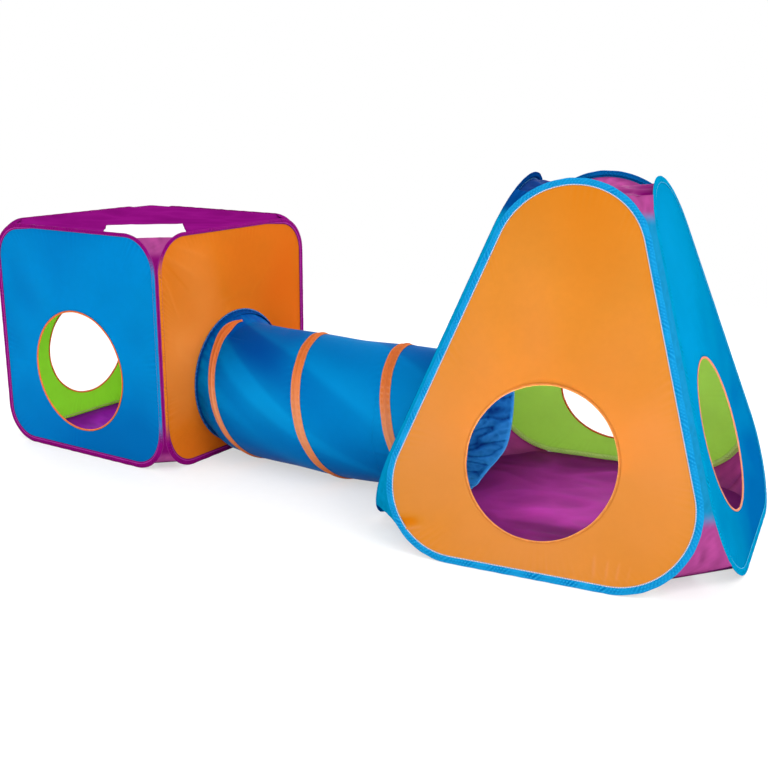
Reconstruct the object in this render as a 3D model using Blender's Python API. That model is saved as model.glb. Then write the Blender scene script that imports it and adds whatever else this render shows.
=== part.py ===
"""Pop-up play set: a cube shelter, a coil tunnel and a pyramid tent.

Everything is in metres. The origin is on the ground under the middle of the cube.
X runs from the cube through the tunnel to the tent, -Y is the side with the two
front windows, and Z is up. Each wall is a cloth panel with a round opening, held by a
spring-steel hoop inside a sewn sleeve.
"""
import math

import bmesh
import bpy
from mathutils import Matrix, Vector

# Clearances and cloth
FIT = 0.0003                     # between pieces that touch
CLOTH = 0.0012                   # tunnel and collar cloth
THIN_CLOTH = 0.0010              # webs, seams and the tent's cap
SHEET_CLOTH = 0.0015             # floors and the cube's roof
PANEL_CLOTH = 0.0016             # wall panels, two layers and a seam
SLEEVE_CLOTH = 0.0011            # wall of a sewn sleeve
SLEEVE_TIP = 0.0033              # thickness of a sleeve's outer fold
SLOT_GAP = 0.0004                # each side of a panel where it enters its sleeve
PANEL_TUCK = 0.0040              # how far a panel reaches into its sleeve
WEB_GAP = 0.0008                 # from a sleeve's fold to a corner web

# Spring-steel hoops
WIRE_DIAMETER = 0.0025
WIRE_END_GAP = 0.0006            # between the two ends inside the ferrule
FERRULE_LENGTH = 0.040
FERRULE_WALL = 0.0004
FERRULE_SIDES = 8
WIRE_SIDES = 5

# Bound edges of the round openings
TRIM_WIDTH = 0.0045
TRIM_THICKNESS = 0.0030
OPENING_STEPS = 24

# Cube shelter
CUBE_WIDTH = 0.745               # between the planes of opposite walls
CUBE_HOOP_HEIGHT = 0.7436        # between the bottom and top runs of a hoop
CUBE_CORNER_RADIUS = 0.113
CUBE_EDGE_INSET = 0.0145         # from the edge of the cube to a hoop's upright
CUBE_SLEEVE_ROOM = 0.0008        # around the ferrule
CUBE_SLEEVE_HEM = 0.0041         # flat cloth beside the wire channel
CUBE_WINDOW_RADIUS = 0.1971
CUBE_WINDOW_HEIGHT = 0.2795      # above the bottom run of the hoop
CUBE_FAR_WINDOW_RADIUS = 0.1749
CUBE_FAR_WINDOW_HEIGHT = 0.2513
CUBE_PORT_RADIUS = 0.2131
CUBE_PORT_HEIGHT = 0.2413
CUBE_CORNER_STEPS = 4
CUBE_WEB_BOTTOM_ANGLE = 47       # degrees below level where a corner web ends
CUBE_WEB_TOP_ANGLE = 84          # degrees above level, under the roof
CUBE_NEAR_WEB_TOP_ANGLE = 65     # the same on the corner with the netting
CUBE_BACK_WEB_TOP_ANGLE = 70     # the same under the roof's pointed far corner
CUBE_ROOF_FAR_CUT = 0.006        # off the roof's pointed far corner

# Netting in the roof, measured along the diagonal through the near corner
NET_START = 0.080                # from the cube's axis to the netting's inner edge
NET_LEFT = 0.154
NET_RIGHT = 0.100
NET_BORDER = 0.010
NET_PITCH = 0.0245
NET_STRAND = 0.0045

# Tunnel
TUNNEL_RADIUS = 0.218
TUNNEL_BOW = 0.044               # sideways, towards -Y
TUNNEL_BOW_SKEW = 0.8            # below 1 the bow is fullest before the middle
TUNNEL_DROP_LENGTH = 0.150       # over which the tunnel settles to the ground
TUNNEL_SAG = 0.004               # of the cloth between two turns of the coil
TUNNEL_RINGS = 18
COIL_FIRST = 0.468               # where the coil crosses the near side
COIL_PITCH = 0.356
COIL_PITCH_LOSS = 0.0235         # the turns lie closer towards the tent
COIL_LEAN = 0.020                # the top of the last turn leans back towards the cube
COIL_START = -0.17               # in turns from the first near crossing
COIL_END = 2.04
COIL_LAYER_GAP = 0.0005
TAPE_WIDTH = 0.033
TAPE_CLOTH = 0.0010
TAPE_CROWN = 0.006               # flat top of the tape over the wire

# Collars at the two ports
CUBE_COLLAR_FLANGE = 0.012
CUBE_COLLAR_DEPTH = 0.022
TENT_COLLAR_LENGTH = 0.030
TENT_COLLAR_RINGS = 3
GATHER_DEPTH = 0.140             # level, into the tent
GATHER_FLARE = 0.006
GATHER_FOLDS = 16
GATHER_FOLD_HEIGHT = 0.003
GATHER_FOLD_STEPS = 4

# Pyramid tent
TENT_X = 1.594
TENT_Y = 0.0454
TENT_TURN = 7.5                  # degrees about Z
TENT_BASE = 0.9916               # between the hoops' bottom runs
TENT_APEX = 1.4469               # where the four wall planes would meet
TENT_EDGE_INSET = 0.0225         # from the pyramid's edge to a hoop's side
TENT_BASE_RADIUS = 0.1946
TENT_TOP_RADIUS = 0.2038
TENT_SLEEVE_ROOM = 0.0008
TENT_SLEEVE_HEM = 0.0081
TENT_FRONT_WINDOW_RADIUS = 0.1956
TENT_FRONT_WINDOW_HEIGHT = 0.2800    # up the wall from the bottom run of the hoop
TENT_SIDE_WINDOW_RADIUS = 0.2006
TENT_SIDE_WINDOW_HEIGHT = 0.3226
TENT_SIDE_WINDOW_SHIFT = -0.0846     # along the wall, to its right seen from outside
TENT_REAR_WINDOW_RADIUS = 0.1708
TENT_REAR_WINDOW_HEIGHT = 0.2560
TENT_PORT_RADIUS = 0.2155
TENT_PORT_HEIGHT = 0.2620
TENT_PORT_SHIFT = 0.015
TENT_BASE_STEPS = 5
TENT_TOP_STEPS = 6
TENT_WEB_BOTTOM_ANGLE = 62       # degrees below level where a corner web ends
TENT_WEB_TOP_ANGLE = 52          # degrees above level where the cap takes over
TENT_CAP_ANGLE = 53              # degrees above level where the cap starts
TENT_CAP_LAP = 0.002             # how far the cap laps the sleeves' inner hems
TENT_CAP_RINGS = 3

# Colours as red, green, blue, with roughness and metallic
MATERIALS = {
    "purple_cloth": ((0.28, 0.01, 0.21), 0.55, 0.0),
    "blue_cloth": ((0.01, 0.24, 0.58), 0.45, 0.0),
    "orange_cloth": ((0.81, 0.22, 0.02), 0.55, 0.0),
    "green_cloth": ((0.30, 0.48, 0.06), 0.55, 0.0),
    "light_blue_cloth": ((0.03, 0.40, 0.78), 0.55, 0.0),
    "mauve_cloth": ((0.42, 0.09, 0.32), 0.60, 0.0),
    "orange_binding": ((0.84, 0.18, 0.04), 0.60, 0.0),
    "white_net": ((0.90, 0.90, 0.92), 0.70, 0.0),
    "spring_steel": ((0.55, 0.56, 0.58), 0.30, 1.0),
}

X_AXIS = Vector((1.0, 0.0, 0.0))
Y_AXIS = Vector((0.0, 1.0, 0.0))
Z_AXIS = Vector((0.0, 0.0, 1.0))
SMOOTH_ANGLE = math.radians(40)


class Sleeve:
    """Sizes of a sewn sleeve, worked out from the ferrule that it has to pass."""

    def __init__(self, room, hem):
        ferrule = ferrule_radii()[1]
        self.cavity = ferrule + room
        self.half = self.cavity + SLEEVE_CLOTH
        self.reach = self.cavity + hem

    def section(self):
        """Outline of the cloth: outward from the hoop first, then across the wall."""
        slot = PANEL_CLOTH / 2 + SLOT_GAP
        side = [
            (-self.reach, slot),
            (-self.reach, slot + SLEEVE_CLOTH),
            (self.cavity, self.half),
            (self.reach, SLEEVE_TIP / 2),
        ]
        mirrored = [(out, -across) for out, across in reversed(side)]
        return side + mirrored + [(self.cavity, -self.cavity), (self.cavity, self.cavity)]

    def inner_half(self, lap):
        """Half the sleeve's thickness at a distance from its inner hem, short of the wire."""
        hem = PANEL_CLOTH / 2 + SLOT_GAP + SLEEVE_CLOTH
        return hem + (self.half - hem) * lap / (self.reach + self.cavity)

    def inner_face(self, lean, height_of_wire, height):
        """Inward distance of the sleeve's inner face from the wire, at a height near the ground."""
        low = self.tilted(self.reach, -SLEEVE_TIP / 2, lean)
        high = self.tilted(self.cavity, -self.half, lean)
        low_height = height_of_wire + low[1]
        high_height = height_of_wire + high[1]
        share = (height - low_height) / (high_height - low_height)
        return -(low[0] + share * (high[0] - low[0]))

    @staticmethod
    def tilted(down, across, lean):
        """Outward distance and height of a section point below the wire of a leaning wall."""
        outward = down * math.sin(lean) + across * math.cos(lean)
        height = -down * math.cos(lean) + across * math.sin(lean)
        return outward, height


class Hoop:
    """A convex outline of corner arcs, listed from the bottom right, anticlockwise."""

    def __init__(self, arcs):
        self.arcs = arcs

    def points(self):
        """Every point of the outline with its outward direction."""
        found = []
        for arc in self.arcs:
            found.extend(arc_points(*arc))
        return found

    def offset(self, distance):
        """The outline moved outward, as points in the wall's plane."""
        return [point + outward * distance for point, outward in self.points()]

    def stretch(self, index, distance, low, high):
        """Points of one corner between two angles, on the facets of the whole outline."""
        centre, radius, start, end, steps = self.arcs[index]
        step = (end - start) / steps
        marks = [start + step * number for number in range(steps + 1)]
        inner = [mark for mark in marks if low < mark < high]
        corners = arc_points(centre, radius + distance, start, end, steps)
        found = []
        for angle in [low] + inner + [high]:
            number = min(int((angle - start) / step + 1e-6), steps - 1)
            share = (angle - marks[number]) / step
            found.append(corners[number][0].lerp(corners[number + 1][0], share))
        return found

    def edge_run(self, distance, low_angle, high_angle, side):
        """The outline's right (side 1) or left (side -1) run, from its low to its high end."""
        level = self.arcs[0][3]
        run = self.stretch(0, distance, -math.radians(low_angle), level)
        run += self.stretch(1, distance, level, math.radians(high_angle))
        return [Vector((point.x * side, point.y)) for point in run]


    def corner_cut(self, width, angle):
        """Distance from the end of a wall to the outline, at an angle on its corner in degrees."""
        index = 0 if angle < 0 else 1
        centre, radius = self.arcs[index][:2]
        return width / 2 - centre.x - radius * math.cos(math.radians(angle))


class Wall:
    """One wall: its name, its frame in space, its hoop, its sleeve and its opening."""

    def __init__(self, name, origin, right, up, hoop, sleeve, opening):
        self.name = name
        self.frame = frame_matrix(origin, right, up)
        self.hoop = hoop
        self.sleeve = sleeve
        self.opening = opening

    def place(self, point, outward=0.0):
        """World position of a point of the wall's plane."""
        return self.frame @ Vector((point.x, point.y, outward))

    def opening_point(self, angle, radius, outward, rise=0.0):
        """World position around the wall's opening, at an angle up from its right."""
        across, height, _ = self.opening
        x = across + radius * math.cos(angle)
        y = height + rise + radius * math.sin(angle)
        return self.frame @ Vector((x, y, outward))


def ferrule_radii():
    """Bore and outside of the crimped ferrule, to its corners."""
    bore = (WIRE_DIAMETER / 2 + FIT) / math.cos(math.pi / FERRULE_SIDES)
    return bore, bore + FERRULE_WALL


def frame_matrix(origin, right, up):
    """Frame with X to the right seen from outside, Y up the wall and Z outward."""
    outward = right.cross(up)
    matrix = Matrix((right, up, outward)).transposed().to_4x4()
    matrix.translation = origin
    return matrix


def arc_points(centre, radius, start, end, steps):
    """Points of an arc, each with its outward direction."""
    found = []
    for index in range(steps + 1):
        angle = start + (end - start) * index / steps
        outward = Vector((math.cos(angle), math.sin(angle)))
        found.append((centre + outward * radius, outward))
    return found


def circle(centre, radius, steps):
    """Points of a circle in a plane."""
    turns = [2 * math.pi * index / steps for index in range(steps)]
    return [centre + radius * Vector((math.cos(turn), math.sin(turn))) for turn in turns]


def smooth_step(value):
    """Ease from 0 to 1 with level ends."""
    value = min(max(value, 0.0), 1.0)
    return value * value * (3.0 - 2.0 * value)


def square_hoop(width, height, radius, steps):
    """Hoop of the cube's walls."""
    right = width / 2 - radius
    quarter = math.pi / 2
    arcs = [
        (Vector((right, radius)), radius, -quarter, 0.0, steps),
        (Vector((right, height - radius)), radius, 0.0, quarter, steps),
        (Vector((-right, height - radius)), radius, quarter, 2 * quarter, steps),
        (Vector((-right, radius)), radius, 2 * quarter, 3 * quarter, steps),
    ]
    return Hoop(arcs)


def triangle_hoop(width, base_angle, base_radius, top_radius):
    """Hoop of the tent's walls."""
    tilt = math.pi / 2 - base_angle
    right = width / 2 - base_radius / math.tan(base_angle / 2)
    top = width / 2 * math.tan(base_angle) - top_radius / math.cos(base_angle)
    arcs = [
        (Vector((right, base_radius)), base_radius, -math.pi / 2, tilt, TENT_BASE_STEPS),
        (Vector((0.0, top)), top_radius, tilt, math.pi - tilt, TENT_TOP_STEPS),
        (Vector((-right, base_radius)), base_radius, math.pi - tilt, 1.5 * math.pi, TENT_BASE_STEPS),
    ]
    return Hoop(arcs)


def loft(rings, wrap):
    """Skin between closed rings of points; it is capped unless it wraps round to its start."""
    mesh = bmesh.new()
    grid = [[mesh.verts.new(point) for point in ring] for ring in rings]
    count = len(grid[0])
    pairs = list(zip(grid, grid[1:]))
    if wrap:
        pairs.append((grid[-1], grid[0]))
    for first, second in pairs:
        for index in range(count):
            after = (index + 1) % count
            mesh.faces.new((first[index], first[after], second[after], second[index]))
    if not wrap:
        mesh.faces.new(reversed(grid[0]))
        mesh.faces.new(grid[-1])
    bmesh.ops.recalc_face_normals(mesh, faces=mesh.faces)
    return mesh


def plate(outline, holes, thickness, level=0.0):
    """Flat plate with holes, centred on a level."""
    mesh = bmesh.new()
    edges = []
    for loop in [outline] + holes:
        verts = [mesh.verts.new((point.x, point.y, level - thickness / 2)) for point in loop]
        edges += [mesh.edges.new(pair) for pair in zip(verts, verts[1:] + verts[:1])]
    bmesh.ops.triangle_fill(mesh, use_beauty=True, edges=edges)
    extruded = bmesh.ops.extrude_face_region(mesh, geom=mesh.faces[:])["geom"]
    moved = [item for item in extruded if isinstance(item, bmesh.types.BMVert)]
    bmesh.ops.translate(mesh, verts=moved, vec=(0.0, 0.0, thickness))
    bmesh.ops.recalc_face_normals(mesh, faces=mesh.faces)
    return mesh


def sheet_between(left, right, thickness):
    """Cloth stretched between two runs of points."""
    rings = []
    last = len(left) - 1
    for index, (start, end) in enumerate(zip(left, right)):
        before = max(index - 1, 0)
        after = min(index + 1, last)
        along = (left[after] + right[after]) - (left[before] + right[before])
        normal = (end - start).cross(along).normalized() * thickness / 2
        rings.append([start - normal, end - normal, end + normal, start + normal])
    return loft(rings, wrap=False)


def material(name):
    """Principled material with the colour, roughness and metallic value of its name."""
    found = bpy.data.materials.get(name)
    if found:
        return found
    colour, roughness, metallic = MATERIALS[name]
    made = bpy.data.materials.new(name)
    made.use_nodes = True
    shader = made.node_tree.nodes["Principled BSDF"]
    shader.inputs["Base Color"].default_value = (*colour, 1.0)
    shader.inputs["Roughness"].default_value = roughness
    shader.inputs["Metallic"].default_value = metallic
    made.diffuse_color = (*colour, 1.0)
    return made


def add_pivot(name, position, parent=None):
    """Empty on a body's joint axis."""
    empty = bpy.data.objects.new(name, None)
    empty.empty_display_size = 0.05
    bpy.context.scene.collection.objects.link(empty)
    WORLD[name] = Matrix.Translation(position)
    if parent:
        empty.parent = parent
        empty.matrix_basis = WORLD[parent.name].inverted() @ WORLD[name]
    else:
        empty.matrix_basis = WORLD[name]
    return empty


def add_node(name, mesh, colour, body, frame=None):
    """Turn a mesh into a named object that moves with a body."""
    data = bpy.data.meshes.new(name)
    mesh.to_mesh(data)
    mesh.free()
    data.shade_smooth()
    data.set_sharp_from_angle(angle=SMOOTH_ANGLE)
    data.materials.append(material(colour))
    made = bpy.data.objects.new(name, data)
    bpy.context.scene.collection.objects.link(made)
    made.parent = body
    made.matrix_basis = WORLD[body.name].inverted() @ (frame or Matrix.Identity(4))
    return made


def add_panel(wall, body, colour):
    """Cloth panel with its round opening."""
    across, height, radius = wall.opening
    outline = wall.hoop.offset(PANEL_TUCK - wall.sleeve.reach)
    hole = circle(Vector((across, height)), radius + TRIM_WIDTH + FIT, OPENING_STEPS)
    add_node(wall.name + "_panel", plate(outline, [hole], PANEL_CLOTH), colour, body, wall.frame)


def add_trim(wall, body, colour):
    """Bound edge round the opening."""
    across, height, radius = wall.opening
    half = TRIM_THICKNESS / 2
    rings = []
    for index in range(OPENING_STEPS):
        angle = 2 * math.pi * index / OPENING_STEPS
        outward = Vector((math.cos(angle), math.sin(angle), 0.0))
        centre = Vector((across, height, 0.0))
        inner = centre + outward * radius
        outer = centre + outward * (radius + TRIM_WIDTH)
        up = Z_AXIS * half
        rings.append([inner - up, outer - up, outer + up, inner + up])
    add_node(wall.name + "_trim", loft(rings, wrap=True), colour, body, wall.frame)


def add_sleeve(wall, body, colour):
    """Sewn sleeve all round the hoop."""
    section = wall.sleeve.section()
    rings = []
    for point, outward in wall.hoop.points():
        rings.append([(point + outward * out).to_3d() + Z_AXIS * across for out, across in section])
    add_node(wall.name + "_sleeve", loft(rings, wrap=True), colour, body, wall.frame)


def add_wire(wall, body):
    """Open steel hoop whose ends meet in the middle of the bottom run."""
    down = Vector((0.0, -1.0))
    path = [(Vector((WIRE_END_GAP / 2, 0.0)), down)]
    path += wall.hoop.points()
    path += [(Vector((-WIRE_END_GAP / 2, 0.0)), down)]
    section = circle(Vector((0.0, 0.0)), WIRE_DIAMETER / 2, WIRE_SIDES)
    rings = []
    for point, outward in path:
        rings.append([(point + outward * at.x).to_3d() + Z_AXIS * at.y for at in section])
    add_node(wall.name + "_wire", loft(rings, wrap=False), "spring_steel", body, wall.frame)


def add_ferrule(wall, body):
    """Crimped tube over the wire's ends."""
    bore, outside = ferrule_radii()
    half = FERRULE_LENGTH / 2
    rings = []
    for index in range(FERRULE_SIDES):
        angle = 2 * math.pi * index / FERRULE_SIDES
        outward = Vector((0.0, math.cos(angle), math.sin(angle)))
        along = X_AXIS * half
        rings.append([
            outward * bore - along,
            outward * outside - along,
            outward * outside + along,
            outward * bore + along,
        ])
    add_node(wall.name + "_ferrule", loft(rings, wrap=True), "spring_steel", body, wall.frame)


def add_wall(wall, body, panel_colour, sleeve_colour, trim_colour):
    """All five pieces of one wall."""
    add_panel(wall, body, panel_colour)
    add_trim(wall, body, trim_colour)
    add_sleeve(wall, body, sleeve_colour)
    add_wire(wall, body)
    add_ferrule(wall, body)


def add_corner(name, left_wall, right_wall, body, colour, low_angle, high_angle):
    """Corner seam that widens into a web at its foot and its head."""
    left_reach = left_wall.sleeve.reach + WEB_GAP
    right_reach = right_wall.sleeve.reach + WEB_GAP
    left_run = left_wall.hoop.edge_run(left_reach, low_angle, high_angle, 1)
    right_run = right_wall.hoop.edge_run(right_reach, low_angle, high_angle, -1)
    left = [left_wall.place(point) for point in left_run]
    right = [right_wall.place(point) for point in right_run]
    add_node(name, sheet_between(left, right, THIN_CLOTH), colour, body)


def cut_square(half, cuts):
    """Square with its corners cut off, from the corner at +X -Y anticlockwise."""
    signs = [(1, -1), (1, 1), (-1, 1), (-1, -1)]
    points = []
    for index, (x, y) in enumerate(signs):
        cut = cuts[index]
        if x * y < 0:
            pair = [Vector((x * (half - cut), y * half)), Vector((x * half, y * (half - cut)))]
        else:
            pair = [Vector((x * half, y * (half - cut))), Vector((x * (half - cut), y * half))]
        points += pair
    return points


def cube_walls(sleeve):
    """The cube's four walls, each named by where it faces."""
    hoop_width = CUBE_WIDTH - 2 * CUBE_EDGE_INSET
    hoop = square_hoop(hoop_width, CUBE_HOOP_HEIGHT, CUBE_CORNER_RADIUS, CUBE_CORNER_STEPS)
    window = (0.0, CUBE_WINDOW_HEIGHT, CUBE_WINDOW_RADIUS)
    far_window = (0.0, CUBE_FAR_WINDOW_HEIGHT, CUBE_FAR_WINDOW_RADIUS)
    port = (0.0, CUBE_PORT_HEIGHT, CUBE_PORT_RADIUS)
    half = CUBE_WIDTH / 2
    lift = Z_AXIS * sleeve.reach
    layout = {
        "port": (X_AXIS, Y_AXIS, port),
        "front": (-Y_AXIS, X_AXIS, window),
        "rear": (Y_AXIS, -X_AXIS, window),
        "far": (-X_AXIS, -Y_AXIS, far_window),
    }
    walls = {}
    for key, (outward, right, opening) in layout.items():
        origin = outward * half + lift
        walls[key] = Wall("cube_" + key, origin, right, Z_AXIS, hoop, sleeve, opening)
    return walls


def tent_sizes(sleeve):
    """Lean of the tent's walls, height of their bottom wires and the hoops' base angle."""
    lean = math.atan2(TENT_BASE / 2, TENT_APEX)
    wire_height = sleeve.reach * math.cos(lean) + SLEEVE_TIP / 2 * math.sin(lean)
    slant = math.hypot(TENT_BASE / 2, TENT_APEX)
    base_angle = math.atan2(slant, TENT_BASE / 2)
    return lean, wire_height, base_angle


def tent_axes():
    """The tent's own X and Y directions."""
    turn = math.radians(TENT_TURN)
    return Vector((math.cos(turn), math.sin(turn), 0.0)), Vector((-math.sin(turn), math.cos(turn), 0.0))


def tent_walls(sleeve):
    """The tent's four walls, each named by where it faces."""
    _, wire_height, base_angle = tent_sizes(sleeve)
    across, along = tent_axes()
    hoop_width = TENT_BASE - 2 * TENT_EDGE_INSET / math.sin(base_angle)
    hoop = triangle_hoop(hoop_width, base_angle, TENT_BASE_RADIUS, TENT_TOP_RADIUS)
    centre = Vector((TENT_X, TENT_Y, wire_height))
    apex = centre + Z_AXIS * TENT_APEX
    port = (TENT_PORT_SHIFT, TENT_PORT_HEIGHT, TENT_PORT_RADIUS)
    front_window = (0.0, TENT_FRONT_WINDOW_HEIGHT, TENT_FRONT_WINDOW_RADIUS)
    rear_window = (0.0, TENT_REAR_WINDOW_HEIGHT, TENT_REAR_WINDOW_RADIUS)
    side_window = (TENT_SIDE_WINDOW_SHIFT, TENT_SIDE_WINDOW_HEIGHT, TENT_SIDE_WINDOW_RADIUS)
    layout = {
        "port": (-across, -along, port),
        "front": (-along, across, front_window),
        "rear": (along, -across, rear_window),
        "side": (across, along, side_window),
    }
    walls = {}
    for key, (outward, right, opening) in layout.items():
        origin = centre + outward * TENT_BASE / 2
        up = (apex - origin).normalized()
        walls[key] = Wall("tent_" + key, origin, right, up, hoop, sleeve, opening)
    return walls


def tent_hinge_lines(sleeve):
    """A point on the ground and a direction for the fold line at each of the tent's edges."""
    _, wire_height, _ = tent_sizes(sleeve)
    across, along = tent_axes()
    half = TENT_BASE / 2
    rise = Z_AXIS * TENT_APEX
    normals = {
        "left": (-across * TENT_APEX + Z_AXIS * half).normalized(),
        "front": (-along * TENT_APEX + Z_AXIS * half).normalized(),
    }
    interior = math.pi - normals["left"].angle(normals["front"])
    edge = (rise + across * half + along * half).normalized()
    drop = TENT_EDGE_INSET * math.cos(interior / 2) / math.sin(edge.angle(Z_AXIS))
    apex = Vector((TENT_X, TENT_Y, wire_height + TENT_APEX - drop))
    lines = {}
    for key, x, y in (("front_left", -1, -1), ("front_right", 1, -1), ("back_left", -1, 1)):
        direction = (rise - across * half * x - along * half * y).normalized()
        foot = apex - direction * (apex.z / direction.z)
        lines[key] = (foot, direction)
    return lines


def add_cube(walls, bodies):
    """Walls, corner webs, floor, roof and netting of the cube."""
    colours = {"port": "orange_cloth", "front": "blue_cloth", "rear": "blue_cloth", "far": "green_cloth"}
    for key, colour in colours.items():
        add_wall(walls[key], bodies[key], colour, "purple_cloth", "orange_binding")
    corners = [
        ("cube_corner_near", "front", "port", "port", CUBE_NEAR_WEB_TOP_ANGLE),
        ("cube_corner_right", "port", "rear", "port", CUBE_WEB_TOP_ANGLE),
        ("cube_corner_back", "rear", "far", "rear", CUBE_BACK_WEB_TOP_ANGLE),
        ("cube_corner_left", "far", "front", "front", CUBE_WEB_TOP_ANGLE),
    ]
    for name, left, right, body, top_angle in corners:
        add_corner(name, walls[left], walls[right], bodies[body], "mauve_cloth",
                   CUBE_WEB_BOTTOM_ANGLE, top_angle)
    add_cube_floor(walls["port"], bodies["port"])
    add_cube_roof(walls["port"], bodies["port"])


def add_cube_floor(wall, body):
    """Ground sheet inside the bottom sleeves, cut off under the corner webs."""
    sleeve = wall.sleeve
    half = CUBE_WIDTH / 2 - sleeve.inner_face(0.0, sleeve.reach, SHEET_CLOTH) - FIT
    cut = wall.hoop.corner_cut(CUBE_WIDTH, -CUBE_WEB_BOTTOM_ANGLE)
    outline = cut_square(half, [cut] * 4)
    mesh = plate(outline, [], SHEET_CLOTH, SHEET_CLOTH / 2)
    add_node("cube_floor", mesh, "purple_cloth", body)


def diagonal(left, outward):
    """Point given along the diagonal through the near corner and across it."""
    across = Vector((-1.0, -1.0)) / math.sqrt(2)
    towards = Vector((1.0, -1.0)) / math.sqrt(2)
    return across * left + towards * outward


def add_cube_roof(wall, body):
    """Roof sheet with a notch at the near corner, and the netting in the notch."""
    sleeve = wall.sleeve
    half = CUBE_WIDTH / 2 - sleeve.half - FIT
    level = sleeve.reach + CUBE_HOOP_HEIGHT + sleeve.cavity
    cut = wall.hoop.corner_cut(CUBE_WIDTH, CUBE_WEB_TOP_ANGLE)
    inner_left = diagonal(NET_LEFT, NET_START)
    inner_right = diagonal(-NET_RIGHT, NET_START)
    front = Vector((inner_left.x + inner_left.y + half, -half))
    side = Vector((half, inner_right.x + inner_right.y - half))
    rest = cut_square(half, [0.0, cut, CUBE_ROOF_FAR_CUT, cut])[2:]
    outline = [side] + rest + [front, inner_left, inner_right]
    add_node("cube_roof", plate(outline, [], SHEET_CLOTH, level), "purple_cloth", body)
    near_cut = wall.hoop.corner_cut(CUBE_WIDTH, CUBE_NEAR_WEB_TOP_ANGLE)
    add_roof_net(half, level, near_cut, body)


def add_roof_net(half, level, corner_cut, body):
    """Netting with square gaps, laid along the diagonal."""
    left = NET_LEFT - FIT
    right = NET_RIGHT - FIT
    start = NET_START + FIT
    root = math.sqrt(2)
    far_left = diagonal(left, start)
    far_right = diagonal(-right, start)
    outline = [
        far_left,
        Vector((far_left.x + far_left.y + half, -half)),
        Vector((half - corner_cut, -half)),
        Vector((half, -half + corner_cut)),
        Vector((half, far_right.x + far_right.y - half)),
        far_right,
    ]
    edge = half - NET_BORDER
    corner = (2 * half - corner_cut) / root - NET_BORDER
    gap = NET_PITCH - NET_STRAND
    columns = int((left + right - 2 * NET_BORDER + NET_STRAND) / NET_PITCH)
    rows = int((corner - start) / NET_PITCH)
    holes = []
    for column in range(columns):
        for row in range(rows):
            low_left = left - NET_BORDER - column * NET_PITCH
            low_out = start + NET_BORDER + row * NET_PITCH
            hole = [
                diagonal(low_left, low_out),
                diagonal(low_left, low_out + gap),
                diagonal(low_left - gap, low_out + gap),
                diagonal(low_left - gap, low_out),
            ]
            inside = all(point.x < edge and point.y > -edge for point in hole)
            if inside and low_out + gap < corner:
                holes.append(hole)
    add_node("cube_roof_net", plate(outline, holes, THIN_CLOTH, level), "white_net", body)


class Tunnel:
    """The tunnel's course: its axis, its radius and the coil that runs round it."""

    def __init__(self, cube_port, tent_port, tape_height):
        self.port_radius = CUBE_PORT_RADIUS + 2 * CLOTH + FIT
        port_centre = cube_port.opening_point(0.0, 0.0, 0.0)
        self.start = port_centre.x + TRIM_THICKNESS / 2 + CLOTH + 2 * FIT
        self.port_height = port_centre.z
        self.tent_port = tent_port
        self.ground_height = TUNNEL_RADIUS + tape_height + COIL_LAYER_GAP
        end_centre = tent_port.opening_point(0.0, 0.0, 0.0)
        self.end_side = end_centre.y
        self.end = end_centre.x

    def axis(self, x):
        """Middle of the tunnel where it is cut square at x."""
        share = min(max((x - self.start) / (self.end - self.start), 0.0), 1.0)
        settle = smooth_step((x - self.start) / TUNNEL_DROP_LENGTH)
        side = self.end_side * share - TUNNEL_BOW * math.sin(math.pi * share ** TUNNEL_BOW_SKEW)
        height = self.port_height + (self.ground_height - self.port_height) * settle
        return Vector((x, side, height))

    def radius(self, x):
        """Outer radius of the cloth on the coil's line."""
        settle = smooth_step((x - self.start) / TUNNEL_DROP_LENGTH)
        return self.port_radius + (TUNNEL_RADIUS - self.port_radius) * settle

    def sag(self, x, angle):
        """How far the cloth is drawn in between two turns of the coil."""
        turn = self.coil_turn(x) + angle / (2 * math.pi)
        ends = smooth_step((x - self.start) / TUNNEL_DROP_LENGTH)
        return TUNNEL_SAG * ends * math.sin(math.pi * turn) ** 2

    def point(self, x, angle, out):
        """Point at a height over the cloth, its angle up from the near side."""
        around = Vector((0.0, -math.cos(angle), math.sin(angle)))
        return self.axis(x) + around * (self.radius(x) + out)

    def stations(self, angle):
        """Places of the cloth's cross-lines along one of its long lines."""
        reach = self.end_x(angle) - self.start
        return [self.start + reach * step / TUNNEL_RINGS for step in range(TUNNEL_RINGS + 1)]

    def cloth_point(self, x, angle):
        """Point on the outside of the cloth, drawn in by its sag."""
        return self.point(x, angle, -self.sag(x, angle))

    def coil_x(self, turn):
        """Where the coil is after so many turns from its first near crossing."""
        lean = COIL_LEAN * smooth_step(turn - 1) * math.sin(2 * math.pi * turn)
        return COIL_FIRST + COIL_PITCH * turn - COIL_PITCH_LOSS * turn * (turn - 1) + lean

    def coil_turn(self, x):
        """The turn at which the coil reaches x, apart from its lean."""
        linear = COIL_PITCH + COIL_PITCH_LOSS
        root = math.sqrt(linear ** 2 - 4 * COIL_PITCH_LOSS * (x - COIL_FIRST))
        return (linear - root) / (2 * COIL_PITCH_LOSS)

    def end_x(self, angle):
        """Where the tunnel's cloth stops short of the tent's leaning wall."""
        normal = self.tent_port.frame.to_3x3() @ Z_AXIS
        plane = self.tent_port.frame.translation + normal * TENT_COLLAR_LENGTH
        x = self.end
        for _ in range(6):
            point = self.point(x, angle, 0.0)
            x -= (point - plane).dot(normal) / normal.x
        return x


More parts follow.
